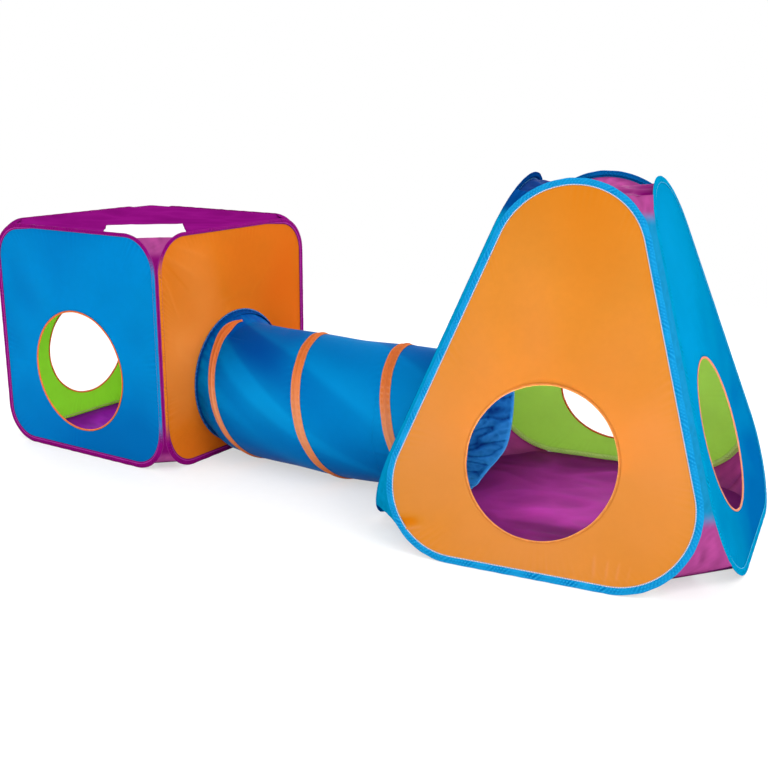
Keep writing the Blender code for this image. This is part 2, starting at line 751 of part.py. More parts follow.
def add_tunnel(tunnel, body, wire_out, tape_section):
    """Tunnel cloth, the coiled wire and the tape sewn over it."""
    rings = []
    for index in range(OPENING_STEPS):
        angle = 2 * math.pi * index / OPENING_STEPS
        stations = tunnel.stations(angle)
        outer = [tunnel.cloth_point(x, angle) for x in stations]
        inner = [tunnel.point(x, angle, -tunnel.sag(x, angle) - CLOTH) for x in stations]
        rings.append(outer + inner[::-1])
    add_node("tunnel_fabric", loft(rings, wrap=True), "blue_cloth", body)

    steps = round((COIL_END - COIL_START) * OPENING_STEPS)
    first = round(COIL_START * OPENING_STEPS)
    turns = [(first + step) / OPENING_STEPS for step in range(steps + 1)]
    wire_section = circle(Vector((0.0, wire_out)), WIRE_DIAMETER / 2, WIRE_SIDES)
    add_node("tunnel_wire", coil_mesh(tunnel, turns, wire_section), "spring_steel", body)
    tape = [Vector(point) for point in tape_section]
    add_node("tunnel_tape", coil_mesh(tunnel, turns, tape), "orange_binding", body)
    report_coil_gap(tunnel, turns, wire_out)


def coil_mesh(tunnel, turns, section):
    """A section of along-tunnel and outward distances, carried round the coil."""
    rings = []
    for turn in turns:
        x = tunnel.coil_x(turn)
        angle = -2 * math.pi * turn
        rings.append([tunnel.point(x + at.x, angle, at.y) for at in section])
    return loft(rings, wrap=False)


def report_coil_gap(tunnel, turns, wire_out):
    """Print the least clear gap between one turn of the coiled wire and the next."""
    points = [tunnel.point(tunnel.coil_x(turn), -2 * math.pi * turn, wire_out) for turn in turns]
    least = math.inf
    for index, point in enumerate(points):
        for other in points[index + OPENING_STEPS // 2:]:
            least = min(least, (point - other).length - WIRE_DIAMETER)
    print("least gap between turns of the tunnel's coil, mm:", round(least * 1000, 1))


def add_cube_collar(wall, tunnel, body):
    """Collar that joins the tunnel to the cube's port: a flange and a short tube."""
    back = TRIM_THICKNESS / 2 + FIT
    radius = wall.opening[2]
    centre = wall.opening_point(0.0, 0.0, 0.0)
    start = centre.x + back
    step = start + CLOTH
    end = start + CUBE_COLLAR_DEPTH
    rings = []
    for index in range(OPENING_STEPS):
        angle = 2 * math.pi * index / OPENING_STEPS
        around = Vector((0.0, -math.cos(angle), math.sin(angle)))
        foot = Vector((0.0, centre.y, centre.z)) + around * radius
        first, second = tunnel.stations(angle)[:2]
        share = (end - first) / (second - first)
        cover = tunnel.cloth_point(first, angle).lerp(tunnel.cloth_point(second, angle), share)
        slid = Vector((0.0, cover.y, cover.z)) - around * (2 * CLOTH + FIT)
        rings.append([
            foot + X_AXIS * start,
            foot + around * CUBE_COLLAR_FLANGE + X_AXIS * start,
            foot + around * CUBE_COLLAR_FLANGE + X_AXIS * step,
            foot + around * CLOTH + X_AXIS * step,
            slid + around * CLOTH + X_AXIS * end,
            slid + X_AXIS * end,
        ])
    add_node("cube_port_collar", loft(rings, wrap=True), "blue_cloth", body)


def add_tent_collar(wall, tunnel, body):
    """Collar from the tunnel's cut end to the tent's leaning port."""
    outward = wall.frame.to_3x3() @ Z_AXIS
    radius = wall.opening[2]
    back = TRIM_THICKNESS / 2 + FIT
    rings = []
    for index in range(OPENING_STEPS):
        angle = 2 * math.pi * index / OPENING_STEPS
        x = tunnel.end_x(angle)
        sag = tunnel.sag(x, angle)
        starts = [
            tunnel.cloth_point(x, angle) - outward * FIT,
            tunnel.point(x, angle, -sag - CLOTH) - outward * FIT,
        ]
        ends = [wall.opening_point(angle, radius + CLOTH, back), wall.opening_point(angle, radius, back)]
        shares = [step / TENT_COLLAR_RINGS for step in range(TENT_COLLAR_RINGS + 1)]
        outer = [starts[0].lerp(ends[0], share) for share in shares]
        inner = [starts[1].lerp(ends[1], share) for share in shares]
        rings.append(outer + inner[::-1])
    add_node("tent_port_collar", loft(rings, wrap=True), "blue_cloth", body)


def add_gather(wall, body):
    """Gathered cuff inside the tent, crinkled towards its upright rim."""
    radius = wall.opening[2]
    back = -TRIM_THICKNESS / 2 - FIT
    inward = wall.frame.to_3x3() @ -Z_AXIS
    level = Vector((inward.x, inward.y, 0.0)).normalized()
    right = wall.frame.to_3x3() @ X_AXIS
    middle = wall.opening_point(0.0, 0.0, back)
    steps = GATHER_FOLDS * GATHER_FOLD_STEPS
    rings = []
    for index in range(steps):
        angle = 2 * math.pi * index / steps
        wave = GATHER_FOLD_HEIGHT * math.cos(GATHER_FOLDS * angle)
        outer = []
        inner = []
        for share in (0.0, 0.5, 1.0):
            reach = radius + GATHER_FLARE * share + wave * share
            up = (wall.frame.to_3x3() @ Y_AXIS).lerp(Z_AXIS, share)
            around = right * math.cos(angle) + up * math.sin(angle)
            centre = middle + level * GATHER_DEPTH * share
            outer.append(centre + around * (reach + CLOTH))
            inner.append(centre + around * reach)
        rings.append(outer + inner[::-1])
    add_node("tent_port_gather", loft(rings, wrap=True), "blue_cloth", body)


def add_tent(walls, bodies):
    """Walls, corner webs, floor and cap of the tent."""
    colours = {
        "port": ("blue_cloth", "purple_cloth"),
        "front": ("orange_cloth", "light_blue_cloth"),
        "rear": ("green_cloth", "blue_cloth"),
        "side": ("blue_cloth", "blue_cloth"),
    }
    for key, (panel_colour, sleeve_colour) in colours.items():
        add_wall(walls[key], bodies[key], panel_colour, sleeve_colour, "orange_binding")
    corners = [
        ("tent_corner_left", "port", "front", "port"),
        ("tent_corner_near", "front", "side", "front"),
        ("tent_corner_right", "side", "rear", "side"),
        ("tent_corner_back", "rear", "port", "port"),
    ]
    for name, left, right, body in corners:
        add_corner(name, walls[left], walls[right], bodies[body], "mauve_cloth",
                   TENT_WEB_BOTTOM_ANGLE, TENT_WEB_TOP_ANGLE)
    add_tent_floor(walls["port"], bodies["port"])
    add_cap(walls, bodies["port"])


def add_tent_floor(wall, body):
    """Ground sheet inside the tent's bottom sleeves, cut off under the corner webs."""
    sleeve = wall.sleeve
    lean, wire_height, _ = tent_sizes(sleeve)
    half = TENT_BASE / 2 - sleeve.inner_face(lean, wire_height, SHEET_CLOTH) - FIT
    outline = cut_square(half, [wall.hoop.corner_cut(TENT_BASE, -TENT_WEB_BOTTOM_ANGLE)] * 4)
    mesh = plate(outline, [], SHEET_CLOTH, SHEET_CLOTH / 2)
    place = Matrix.Translation((TENT_X, TENT_Y, 0.0)) @ Matrix.Rotation(math.radians(TENT_TURN), 4, "Z")
    add_node("tent_floor", mesh, "purple_cloth", body, place)


def add_cap(walls, body):
    """Cap hung inside the four rounded tops, along the inner hems of their sleeves."""
    start = math.radians(TENT_CAP_ANGLE)
    edge = []
    for key in ("port", "rear", "side", "front"):
        wall = walls[key]
        reach = wall.sleeve.reach
        seam = wall.sleeve.inner_half(TENT_CAP_LAP) + FIT + THIN_CLOTH / 2
        corner = wall.sleeve.half + 2 * THIN_CLOTH
        ends = wall.hoop.stretch(1, reach, start, math.pi - start)
        hem = wall.hoop.stretch(1, TENT_CAP_LAP - reach, start, math.pi - start)
        edge.append(wall.place(ends[0], -corner))
        edge += [wall.place(point, -seam) for point in hem[1:-1]]
        edge.append(wall.place(ends[-1], -corner))
    middle = Vector((TENT_X, TENT_Y, max(point.z for point in edge)))
    half = Z_AXIS * THIN_CLOTH / 2
    mesh = bmesh.new()
    skins = []
    for offset in (half, -half):
        rings = []
        for step in range(TENT_CAP_RINGS):
            share = step / TENT_CAP_RINGS
            rings.append([mesh.verts.new(point.lerp(middle, share) + offset) for point in edge])
        skins.append((rings, mesh.verts.new(middle + offset)))
    count = len(edge)
    for rings, tip in skins:
        for first, second in zip(rings, rings[1:]):
            for index in range(count):
                after = (index + 1) % count
                mesh.faces.new((first[index], first[after], second[after], second[index]))
        for index in range(count):
            mesh.faces.new((rings[-1][index], rings[-1][(index + 1) % count], tip))
    upper = skins[0][0][0]
    lower = skins[1][0][0]
    for index in range(count):
        after = (index + 1) % count
        mesh.faces.new((upper[index], lower[index], lower[after], upper[after]))
    bmesh.ops.recalc_face_normals(mesh, faces=mesh.faces)
    add_node("tent_cap", mesh, "mauve_cloth", body)


def cube_bodies():
    """Empties on the cube's fold lines; the port wall stays put."""
    pivot = (CUBE_WIDTH - CUBE_EDGE_INSET) / 2
    port = add_pivot("cube_port_wall", Vector((CUBE_WIDTH / 2, 0.0, 0.0)))
    front = add_pivot("cube_front_wall", Vector((pivot, -pivot, 0.0)), port)
    rear = add_pivot("cube_rear_wall", Vector((pivot, pivot, 0.0)), port)
    far = add_pivot("cube_far_wall", Vector((-pivot, -pivot, 0.0)), front)
    return {"port": port, "front": front, "rear": rear, "far": far}


def tent_bodies(sleeve, root):
    """Empties on the tent's fold lines, which run along its slanted edges."""
    lines = tent_hinge_lines(sleeve)
    port = add_pivot("tent_port_wall", Vector((TENT_X - TENT_BASE / 2, TENT_Y, 0.0)), root)
    front = add_pivot("tent_front_wall", lines["front_left"][0], port)
    rear = add_pivot("tent_rear_wall", lines["back_left"][0], port)
    side = add_pivot("tent_side_wall", lines["front_right"][0], front)
    return {"port": port, "front": front, "rear": rear, "side": side}


def coil_layers():
    """Height of the coiled wire over the cloth, and the section of the tape over it."""
    wire_out = COIL_LAYER_GAP + WIRE_DIAMETER / 2
    channel = COIL_LAYER_GAP + WIRE_DIAMETER + FIT
    top = channel + TAPE_CLOTH
    side = WIRE_DIAMETER / 2 + FIT
    crown = TAPE_CROWN / 2
    half = [
        (TAPE_WIDTH / 2, COIL_LAYER_GAP),
        (crown, top),
    ]
    mirrored = [(-x, y) for x, y in reversed(half)]
    inner = [(-side - FIT, COIL_LAYER_GAP), (-side, channel), (side, channel), (side + FIT, COIL_LAYER_GAP)]
    return wire_out, half + mirrored + inner, top


def main():
    for item in list(bpy.data.objects):
        bpy.data.objects.remove(item)
    cube_sleeve = Sleeve(CUBE_SLEEVE_ROOM, CUBE_SLEEVE_HEM)
    tent_sleeve = Sleeve(TENT_SLEEVE_ROOM, TENT_SLEEVE_HEM)
    cube = cube_walls(cube_sleeve)
    tent = tent_walls(tent_sleeve)
    in_cube = cube_bodies()
    in_tent = tent_bodies(tent_sleeve, in_cube["port"])
    add_cube(cube, in_cube)
    wire_out, tape_section, tape_height = coil_layers()
    tunnel = Tunnel(cube["port"], tent["port"], tape_height)
    add_cube_collar(cube["port"], tunnel, in_cube["port"])
    add_tunnel(tunnel, in_cube["port"], wire_out, tape_section)
    add_tent(tent, in_tent)
    add_tent_collar(tent["port"], tunnel, in_tent["port"])
    add_gather(tent["port"], in_tent["port"])


WORLD = {}
main()
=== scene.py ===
"""Looks of the pop-up play set: sewn cloth, steel hoops and a plain studio.

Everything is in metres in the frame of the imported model: the origin is on the ground
under the cube, X runs through the tunnel to the tent, and -Y is the photographed side.
"""
import math

import bmesh
import bpy
import numpy as np
from mathutils import Matrix, Vector


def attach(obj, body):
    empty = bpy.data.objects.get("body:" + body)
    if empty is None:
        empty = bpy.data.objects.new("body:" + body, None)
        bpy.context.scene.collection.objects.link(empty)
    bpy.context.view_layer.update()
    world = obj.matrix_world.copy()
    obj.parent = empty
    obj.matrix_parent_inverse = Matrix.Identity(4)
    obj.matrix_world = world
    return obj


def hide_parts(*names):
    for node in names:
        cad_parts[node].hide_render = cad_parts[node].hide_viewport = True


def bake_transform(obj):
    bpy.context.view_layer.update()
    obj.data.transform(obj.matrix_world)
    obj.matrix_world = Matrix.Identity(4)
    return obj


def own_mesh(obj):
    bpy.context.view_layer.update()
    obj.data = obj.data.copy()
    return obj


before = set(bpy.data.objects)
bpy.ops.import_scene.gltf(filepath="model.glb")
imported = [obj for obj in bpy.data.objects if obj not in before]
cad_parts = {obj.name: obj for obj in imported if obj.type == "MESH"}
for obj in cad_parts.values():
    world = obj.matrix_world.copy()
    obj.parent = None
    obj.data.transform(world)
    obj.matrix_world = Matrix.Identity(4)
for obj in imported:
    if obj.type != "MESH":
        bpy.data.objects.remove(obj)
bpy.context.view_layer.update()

FULL = 2 * math.pi               # a full turn
ROOT_TWO = math.sqrt(2.0)

# Photograph
CAMERA_PLACE = (2.6734, -2.7083, 1.1504)
CAMERA_YAW = 0.5653
CAMERA_PITCH = -0.2590
CAMERA_ROLL = 0.0047
CAMERA_FOCAL_PIXELS = 1064.8
PHOTO_PIXELS = 768
SENSOR = 36.0                    # mm

# Cloth and wire, as in the part but for the tape, which is 0.0010 thick there
CLOTH = 0.0009
TAPE_CLOTH = 0.0008
WIRE_RADIUS = 0.00125
WIRE_CHANNEL = 0.00288           # radius of the channel inside a sleeve
SLEEVE_HALF = 0.00398            # half a sleeve's thickness over the wire
SLEEVE_TIP_HALF = 0.00165
CUBE_REACH = 0.00698             # from a wire to its sleeve's outer fold
TENT_REACH = 0.01098
CUBE_HEM = 0.0048                # from a wire to its sleeve's inner seam
TENT_HEM = 0.0088
PANEL_TUCK = 0.0030              # how far a panel reaches past that seam

# Cube; an opening is its middle across, its height and its radius
CUBE_WIDTH = 0.745
CUBE_HOOP_HEIGHT = 0.7436
CUBE_CORNER_RADIUS = 0.113
CUBE_EDGE_INSET = 0.0145
CUBE_WINDOW = (0.0, 0.2795, 0.1971)
CUBE_FAR_WINDOW = (0.0, 0.2513, 0.1749)
CUBE_PORT = (0.0, 0.2413, 0.2131)
CUBE_WEB_BOTTOM = 47             # degrees below level where a corner web ends
CUBE_WEB_TOP = 84                # degrees above level
CUBE_NEAR_WEB_TOP = 65
CUBE_BACK_WEB_TOP = 70
CUBE_WIDE_HEM = 0.0085           # how much wider some hems are in the photograph
CUBE_FLOOR_HALF = CUBE_WIDTH / 2 - 0.0030
CUBE_FLOOR_CUT = 0.054           # off the hidden corners of the ground sheet
CUBE_LEFT_CUT = 0.120            # off its left corner
CUBE_NEAR_CUT = 0.161            # off its near corner, which the photograph shows bare
ROOF_LEVEL = CUBE_REACH + CUBE_HOOP_HEIGHT + WIRE_CHANNEL
ROOF_HALF = CUBE_WIDTH / 2 - SLEEVE_HALF - 0.0003
ROOF_CORNER = ROOT_TWO * ROOF_HALF           # from the middle of the roof to its corner
ROOF_FAR_CUT = 0.006             # off the roof's pointed far corner
ROOF_CUT = 0.108                 # off the roof's other corners
ROOF_SPACING = 0.0075
ROOF_SEED = 300

# Netting, measured along the diagonal through the near corner and across it
NET_START = 0.080
NET_END = ROOF_CORNER - 0.0545
NET_LEFT = 0.154
NET_RIGHT = 0.100
NET_PITCH = 0.0030
NET_YARN = 0.0024
NET_GAP = 0.0006                 # from the yarns to the roof sheet

# Tunnel
TUNNEL_RADIUS = 0.218
TUNNEL_GIRTH = FULL * TUNNEL_RADIUS
TUNNEL_PORT_RADIUS = 0.2158
TUNNEL_START = 0.3758
TUNNEL_BOW = 0.044               # sideways, towards -Y
TUNNEL_BOW_SKEW = 0.8            # below 1 the bow is fullest before the middle
TUNNEL_DROP_LENGTH = 0.070       # over which the tunnel settles to the ground
TUNNEL_SAG = 0.004
TUNNEL_LAYERS = 0.0048           # coil, tape and gap under the tunnel's cloth
TUNNEL_CUT = 1.075               # the cloth beyond this stays with the tent
COIL_FIRST = 0.468               # where the coil crosses the near side
COIL_PITCH = 0.356
COIL_PITCH_LOSS = 0.0235         # the turns lie closer towards the tent
COIL_LEAN = 0.020                # the top of the last turn leans back towards the cube
COIL_TIP_BEND = 14.0             # how sharply the coil's first end bends to the tent
COIL_START = -0.1667             # in turns from the first near crossing
BAND_START = -0.235              # the band's tip runs on under the collar
COIL_END = 2.0417
TAPE_WIDTH = 0.033
WIRE_OUT = 0.00175
TENT_COLLAR_LENGTH = 0.030
GATHER_DEPTH = 0.140
GATHER_FLARE = 0.006

# Tent
TENT_X = 1.594
TENT_Y = 0.0454
TENT_TURN = 7.5                  # degrees
TENT_BASE = 0.9916
TENT_APEX = 1.4469               # where the four wall planes would meet
TENT_EDGE_INSET = 0.0225
TENT_BASE_RADIUS = 0.1946
TENT_TOP_RADIUS = 0.2038
TENT_FRONT_WINDOW = (0.0, 0.2800, 0.1956)
TENT_SIDE_WINDOW = (-0.0846, 0.3226, 0.2006)
TENT_REAR_WINDOW = (0.0, 0.2560, 0.1708)
TENT_PORT = (0.015, 0.2620, 0.2155)
TENT_WEB_TOP = 54
TENT_CAP = 53                    # degrees above level where the cap's corners are
TENT_NEAR_WEB_BOTTOM = 40        # the hem in the photograph is above the hoops' lowest bend
TENT_HIDDEN_WEB_BOTTOM = 82
TENT_FLOOR_HALF = TENT_BASE / 2 + 0.0004
TENT_FLOOR_CUT = 0.206
TENT_NEAR_CUT = 0.313
TENT_HIDDEN_WEB_CUT = 0.262
TENT_FOLD_INSET = 0.03           # how far inside the port wall the point handed to the tent's sheets lies
CAP_STEPS = 46                   # round each hoop's top
CAP_ROWS = 40

# Bound edge of an opening
TRIM_WIDTH = 0.0052
TRIM_COVER = 0.0035              # how far the panel's raw edge is inside the binding
TRIM_HALF = 0.0016
TRIM_STEPS = 300
TRIM_PUCKER = 0.0095             # from one pucker to the next
TRIM_STITCH = 0.0042             # from its edge to its row of stitches

# Fineness of the meshes
PANEL_ROWS = 40
PANEL_SPACING = 0.0062
SLEEVE_SPACING = 0.0042
WEB_SPACING = 0.006
WEB_COLUMNS = 15
FLOOR_STEPS = 110
TUNNEL_COLUMNS = 240
TUNNEL_ROWS = 230
CUFF_COLUMNS = 460
CUFF_ROWS = 52

# Lowest edge of a corner web: its height and how far it spreads to both sides
WEB_FOOT_HEIGHT = 0.0022
CUBE_FOOT_SPREAD = 0.02
TENT_NEAR_SPREAD = 0.035
TENT_HIDDEN_SPREAD = 0.095

# First random seed of each kind of piece
CUBE_SEEDS = {"panel": 100, "sleeve": 140, "trim": 160, "web": 180, "floor": 200}
TENT_SEEDS = {"panel": 230, "sleeve": 260, "trim": 280, "web": 290, "floor": 210}
PANEL_SEED_STEP = 7
CAP_SEED = 400
TAPE_SEED = 51
SATIN_SEED = 71
CRINKLE_SEED = 72
CUFF_SEED = 501

# Puckers of a sleeve: distance apart, slant and height
CUBE_PUCKERS = (0.0085, 0.5, 0.0005)
TENT_PUCKERS = (0.0095, 0.75, 0.0007)


# ---------------------------------------------------------------- lines and directions

def ease(value):
    """Smooth step from 0 to 1."""
    value = np.clip(value, 0.0, 1.0)
    return value * value * (3.0 - 2.0 * value)


def between(first, last, share):
    """Mix of two values or places."""
    return first * (1 - share) + last * share


def unit(vector):
    """Vector or vectors of length one."""
    return vector / np.linalg.norm(vector, axis=-1, keepdims=True)


def spokes(angles):
    """Directions at angles, in a plane."""
    return np.stack([np.cos(angles), np.sin(angles)], axis=-1)


def round_angles(count):
    """Angles of a full turn in equal steps."""
    return np.linspace(0.0, FULL, count, endpoint=False)


def travel(points):
    """Distance of each point of a line from its first one."""
    steps = np.linalg.norm(np.diff(points, axis=0), axis=1)
    return np.concatenate([[0.0], np.cumsum(steps)])


def from_ends(run):
    """Distance to the nearer end of a line."""
    return np.minimum(run, run[-1] - run)


def face_side(half):
    """1 on a folded strip's front and -1 on its back."""
    return np.where(half < 0, -1.0, 1.0)


# ---------------------------------------------------------------- smooth random shapes

def wander(seed, along, length):
    """Smooth random line in -1..1 whose swells are about a length apart."""
    draw = np.random.RandomState(seed)
    total = 0.0
    count = 6
    for _ in range(count):
        rate = FULL / (length * draw.uniform(0.7, 1.6))
        total = total + np.sin(rate * along + draw.uniform(0, FULL))
    return total / count * 1.6


def crumple(seed, x, y, length, stretch=1.0):
    """Smooth random relief in about -1..1; stretch makes it longer along x."""
    draw = np.random.RandomState(seed)
    total = 0.0
    count = 10
    for _ in range(count):
        turn = draw.uniform(0, math.pi)
        rate = FULL / (length * draw.uniform(0.65, 1.7))
        phase = rate * (x / stretch * math.cos(turn) + y * math.sin(turn))
        total = total + np.sin(phase + draw.uniform(0, FULL))
    return total / count * 1.7


def crumple_solid(seed, points, length):
    """Smooth random relief in about -1..1 over points in space, without a seam."""
    draw = np.random.RandomState(seed)
    total = 0.0
    count = 14
    for _ in range(count):
        way = draw.normal(size=3)
        way = way / np.linalg.norm(way) * FULL / (length * draw.uniform(0.6, 1.8))
        total = total + np.sin(points @ way + draw.uniform(0, FULL))
    return total / count * 2.0


def creased(relief):
    """Smooth relief turned into sharp ridges between round hollows."""
    return 1.0 - 2.0 * np.abs(relief) ** 0.75


# ---------------------------------------------------------------- meshes

def grid_mesh(name, points, wrap_rows=False, wrap_columns=False, flip=False, **values):
    """Quads over rows and columns of points, with named numbers at each point."""
    rows, columns = points.shape[:2]
    number = np.arange(rows * columns).reshape(rows, columns)
    down = np.concatenate([number, number[:1]]) if wrap_rows else number
    if wrap_columns:
        down = np.concatenate([down, down[:, :1]], axis=1)
    faces = np.stack([down[:-1, :-1], down[:-1, 1:], down[1:, 1:], down[1:, :-1]], axis=-1)
    faces = faces.reshape(-1, 4)
    if flip:
        faces = faces[:, ::-1]
    mesh = bpy.data.meshes.new(name)
    mesh.from_pydata(points.reshape(-1, 3).tolist(), [], faces.tolist())
    for key, value in values.items():
        layer = mesh.attributes.new(key, "FLOAT", "POINT")
        everywhere = np.broadcast_to(value, (rows, columns))
        layer.data.foreach_set("value", np.ascontiguousarray(everywhere, np.float32).ravel())
    mesh.update()
    return mesh


def add_piece(name, mesh, material, thickness=0.0):
    """Object in the scene; a thickness turns its mesh into a closed skin of cloth."""
    piece = bpy.data.objects.new(name, mesh)
    bpy.context.scene.collection.objects.link(piece)
    mesh.materials.append(material)
    if thickness:
        thicken(piece, thickness)
    piece.data.shade_smooth()
    return piece


def stand_in(name, mesh, material, node, body=None, thickness=CLOTH):
    """Piece that is shown in place of a node of the model and rides on a body."""
    piece = add_piece(name, mesh, material, thickness)
    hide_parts(node)
    if body:
        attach(piece, body)
    return piece


def thicken(piece, thickness):
    """Give a piece's single layer of faces its thickness and closed edges."""
    name = piece.data.name
    skin = piece.modifiers.new("cloth", "SOLIDIFY")
    skin.thickness = thickness
    skin.offset = 0.0
    bpy.context.view_layer.update()
    ready = piece.evaluated_get(bpy.context.evaluated_depsgraph_get())
    single = piece.data
    piece.data = bpy.data.meshes.new_from_object(ready)
    piece.modifiers.clear()
    bpy.data.meshes.remove(single)
    piece.data.name = name
    piece.data.shade_smooth()


def change_mesh(mesh, change):
    """Change a mesh by a function of its editable form."""
    build = bmesh.new()
    build.from_mesh(mesh)
    change(build)
    build.to_mesh(mesh)
    build.free()


def recalculate(build):
    """Turn all faces outward."""
    bmesh.ops.recalc_face_normals(build, faces=build.faces[:])


def cut_piece(source, name, keep_low):
    """Copy of a piece on one side of the plane where the tunnel changes body."""
    piece = source.copy()
    piece.data = source.data.copy()
    piece.name = name
    piece.data.name = name
    bpy.context.scene.collection.objects.link(piece)

    def cut(build):
        """Remove the faces beyond the plane."""
        everything = build.verts[:] + build.edges[:] + build.faces[:]
        bmesh.ops.bisect_plane(
            build, geom=everything, plane_co=(TUNNEL_CUT, 0.0, 0.0), plane_no=(1.0, 0.0, 0.0),
            clear_outer=keep_low, clear_inner=not keep_low)

    change_mesh(piece.data, cut)
    return piece


# ---------------------------------------------------------------- walls

class Wall:
    """A cloth wall: its plane in space, its hoop's outline, its sleeve and its opening."""

    def __init__(self, name, origin, right, up, hoop, opening, wide_side=0):
        self.name = name
        self.body = name + "_wall"
        self.origin = np.array(origin)
        self.right = np.array(right)
        self.up = np.array(up)
        self.outward = np.cross(self.right, self.up)
        self.arcs, self.reach, self.hem = hoop
        self.centre = np.array(opening[:2])
        self.radius = opening[2]
        self.wide_side = wide_side

    def place(self, flat, out=0.0):
        """World positions of points of the wall's plane, moved outward."""
        x = flat[..., 0, None] * self.right
        y = flat[..., 1, None] * self.up
        return self.origin + x + y + np.asarray(out)[..., None] * self.outward

    def opening_point(self, angle, radius, out):
        """World positions round the opening, at angles up from its right."""
        flat = [self.centre[0] + radius * np.cos(angle), self.centre[1] + radius * np.sin(angle)]
        return self.place(np.stack(flat, axis=-1), out)

    def outline(self, spacing):
        """Evenly spaced points of the hoop, their outward directions and their distances."""
        points, outward = [], []
        for index, (centre, radius, start, end) in enumerate(self.arcs):
            steps = math.ceil(radius * (end - start) / spacing)
            around = spokes(np.linspace(start, end, steps + 1))
            points.append(np.array(centre) + around * radius)
            outward.append(around)
            after, after_radius, after_start, _ = self.arcs[(index + 1) % len(self.arcs)]
            first = points[-1][-1]
            last = np.array(after) + after_radius * spokes(after_start)
            steps = math.ceil(np.linalg.norm(last - first) / spacing)
            shares = np.linspace(0.0, 1.0, steps + 1)[1:-1, None]
            points.append(first + (last - first) * shares)
            outward.append(np.repeat(around[-1:], len(shares), axis=0))
        points = np.concatenate(points)
        run = travel(np.concatenate([points, points[:1]]))
        return points, np.concatenate(outward), run[:-1], float(run[-1])

    def hem_at(self, points):
        """Distance from the wire to the sleeve's inner seam: wider on one side and at the foot."""
        if not self.wide_side:
            return np.full(len(points), self.hem)
        side = ease((self.wide_side * points[:, 0] - 0.15) / 0.12)
        foot = ease((0.16 - points[:, 1]) / 0.10)
        return self.hem + CUBE_WIDE_HEM * np.maximum(side, foot)

    def edge_run(self, distance, low, high, side):
        """The outline's right or left run from its foot to its head, in the wall's plane."""
        centre, radius, _, level = self.arcs[0]
        head, head_radius, head_level, _ = self.arcs[1]
        runs = []
        for middle, size, first, last in (
                (centre, radius, -math.radians(low), level),
                (head, head_radius, head_level, math.radians(high))):
            steps = math.ceil(size * abs(last - first) / WEB_SPACING)
            around = spokes(np.linspace(first, last, steps + 1))
            runs.append(np.array(middle) + (size + distance) * around)
        first, last = runs[0][-1], runs[1][0]
        steps = math.ceil(np.linalg.norm(last - first) / WEB_SPACING)
        straight = first + (last - first) * np.linspace(0.0, 1.0, steps + 1)[1:-1, None]
        run = np.concatenate([runs[0], straight, runs[1]])
        run[:, 0] *= side
        return run

    def top_run(self, angle, steps):
        """The outline's rounded top between two angles, right to left."""
        centre, radius = self.arcs[1][:2]
        low = math.radians(angle)
        return np.array(centre) + radius * spokes(np.linspace(low, math.pi - low, steps))


def square_arcs(width, height, radius):
    """Corner arcs of the cube's hoops, from the bottom right, anticlockwise."""
    right = width / 2 - radius
    quarter = math.pi / 2
    corners = ((right, radius), (right, height - radius), (-right, height - radius), (-right, radius))
    return [(corner, radius, (index - 1) * quarter, index * quarter)
            for index, corner in enumerate(corners)]


def triangle_arcs(width, base_angle):
    """Corner arcs of the tent's hoops, from the bottom right, anticlockwise."""
    tilt = math.pi / 2 - base_angle
    right = width / 2 - TENT_BASE_RADIUS / math.tan(base_angle / 2)
    top = width / 2 * math.tan(base_angle) - TENT_TOP_RADIUS / math.cos(base_angle)
    return [
        ((right, TENT_BASE_RADIUS), TENT_BASE_RADIUS, -math.pi / 2, tilt),
        ((0.0, top), TENT_TOP_RADIUS, tilt, math.pi - tilt),
        ((-right, TENT_BASE_RADIUS), TENT_BASE_RADIUS, math.pi - tilt, 1.5 * math.pi),
    ]


def cube_walls():
    """The cube's four walls, each named by where it faces."""
    arcs = square_arcs(CUBE_WIDTH - 2 * CUBE_EDGE_INSET, CUBE_HOOP_HEIGHT, CUBE_CORNER_RADIUS)
    up = (0.0, 0.0, 1.0)
    layout = {
        "port": ((1.0, 0.0, 0.0), (0.0, 1.0, 0.0), CUBE_PORT, 1),
        "front": ((0.0, -1.0, 0.0), (1.0, 0.0, 0.0), CUBE_WINDOW, -1),
        "rear": ((0.0, 1.0, 0.0), (-1.0, 0.0, 0.0), CUBE_WINDOW, 0),
        "far": ((-1.0, 0.0, 0.0), (0.0, -1.0, 0.0), CUBE_FAR_WINDOW, 0),
    }
    walls = {}
    for key, (outward, right, opening, wide_side) in layout.items():
        origin = np.array(outward) * CUBE_WIDTH / 2 + np.array(up) * CUBE_REACH
        hoop = (arcs, CUBE_REACH, CUBE_HEM)
        walls[key] = Wall("cube_" + key, origin, right, up, hoop, opening, wide_side)
    return walls


def tent_axes():
    """The tent's own X and Y directions."""
    turn = math.radians(TENT_TURN)
    cosine, sine = math.cos(turn), math.sin(turn)
    return np.array([cosine, sine, 0.0]), np.array([-sine, cosine, 0.0])


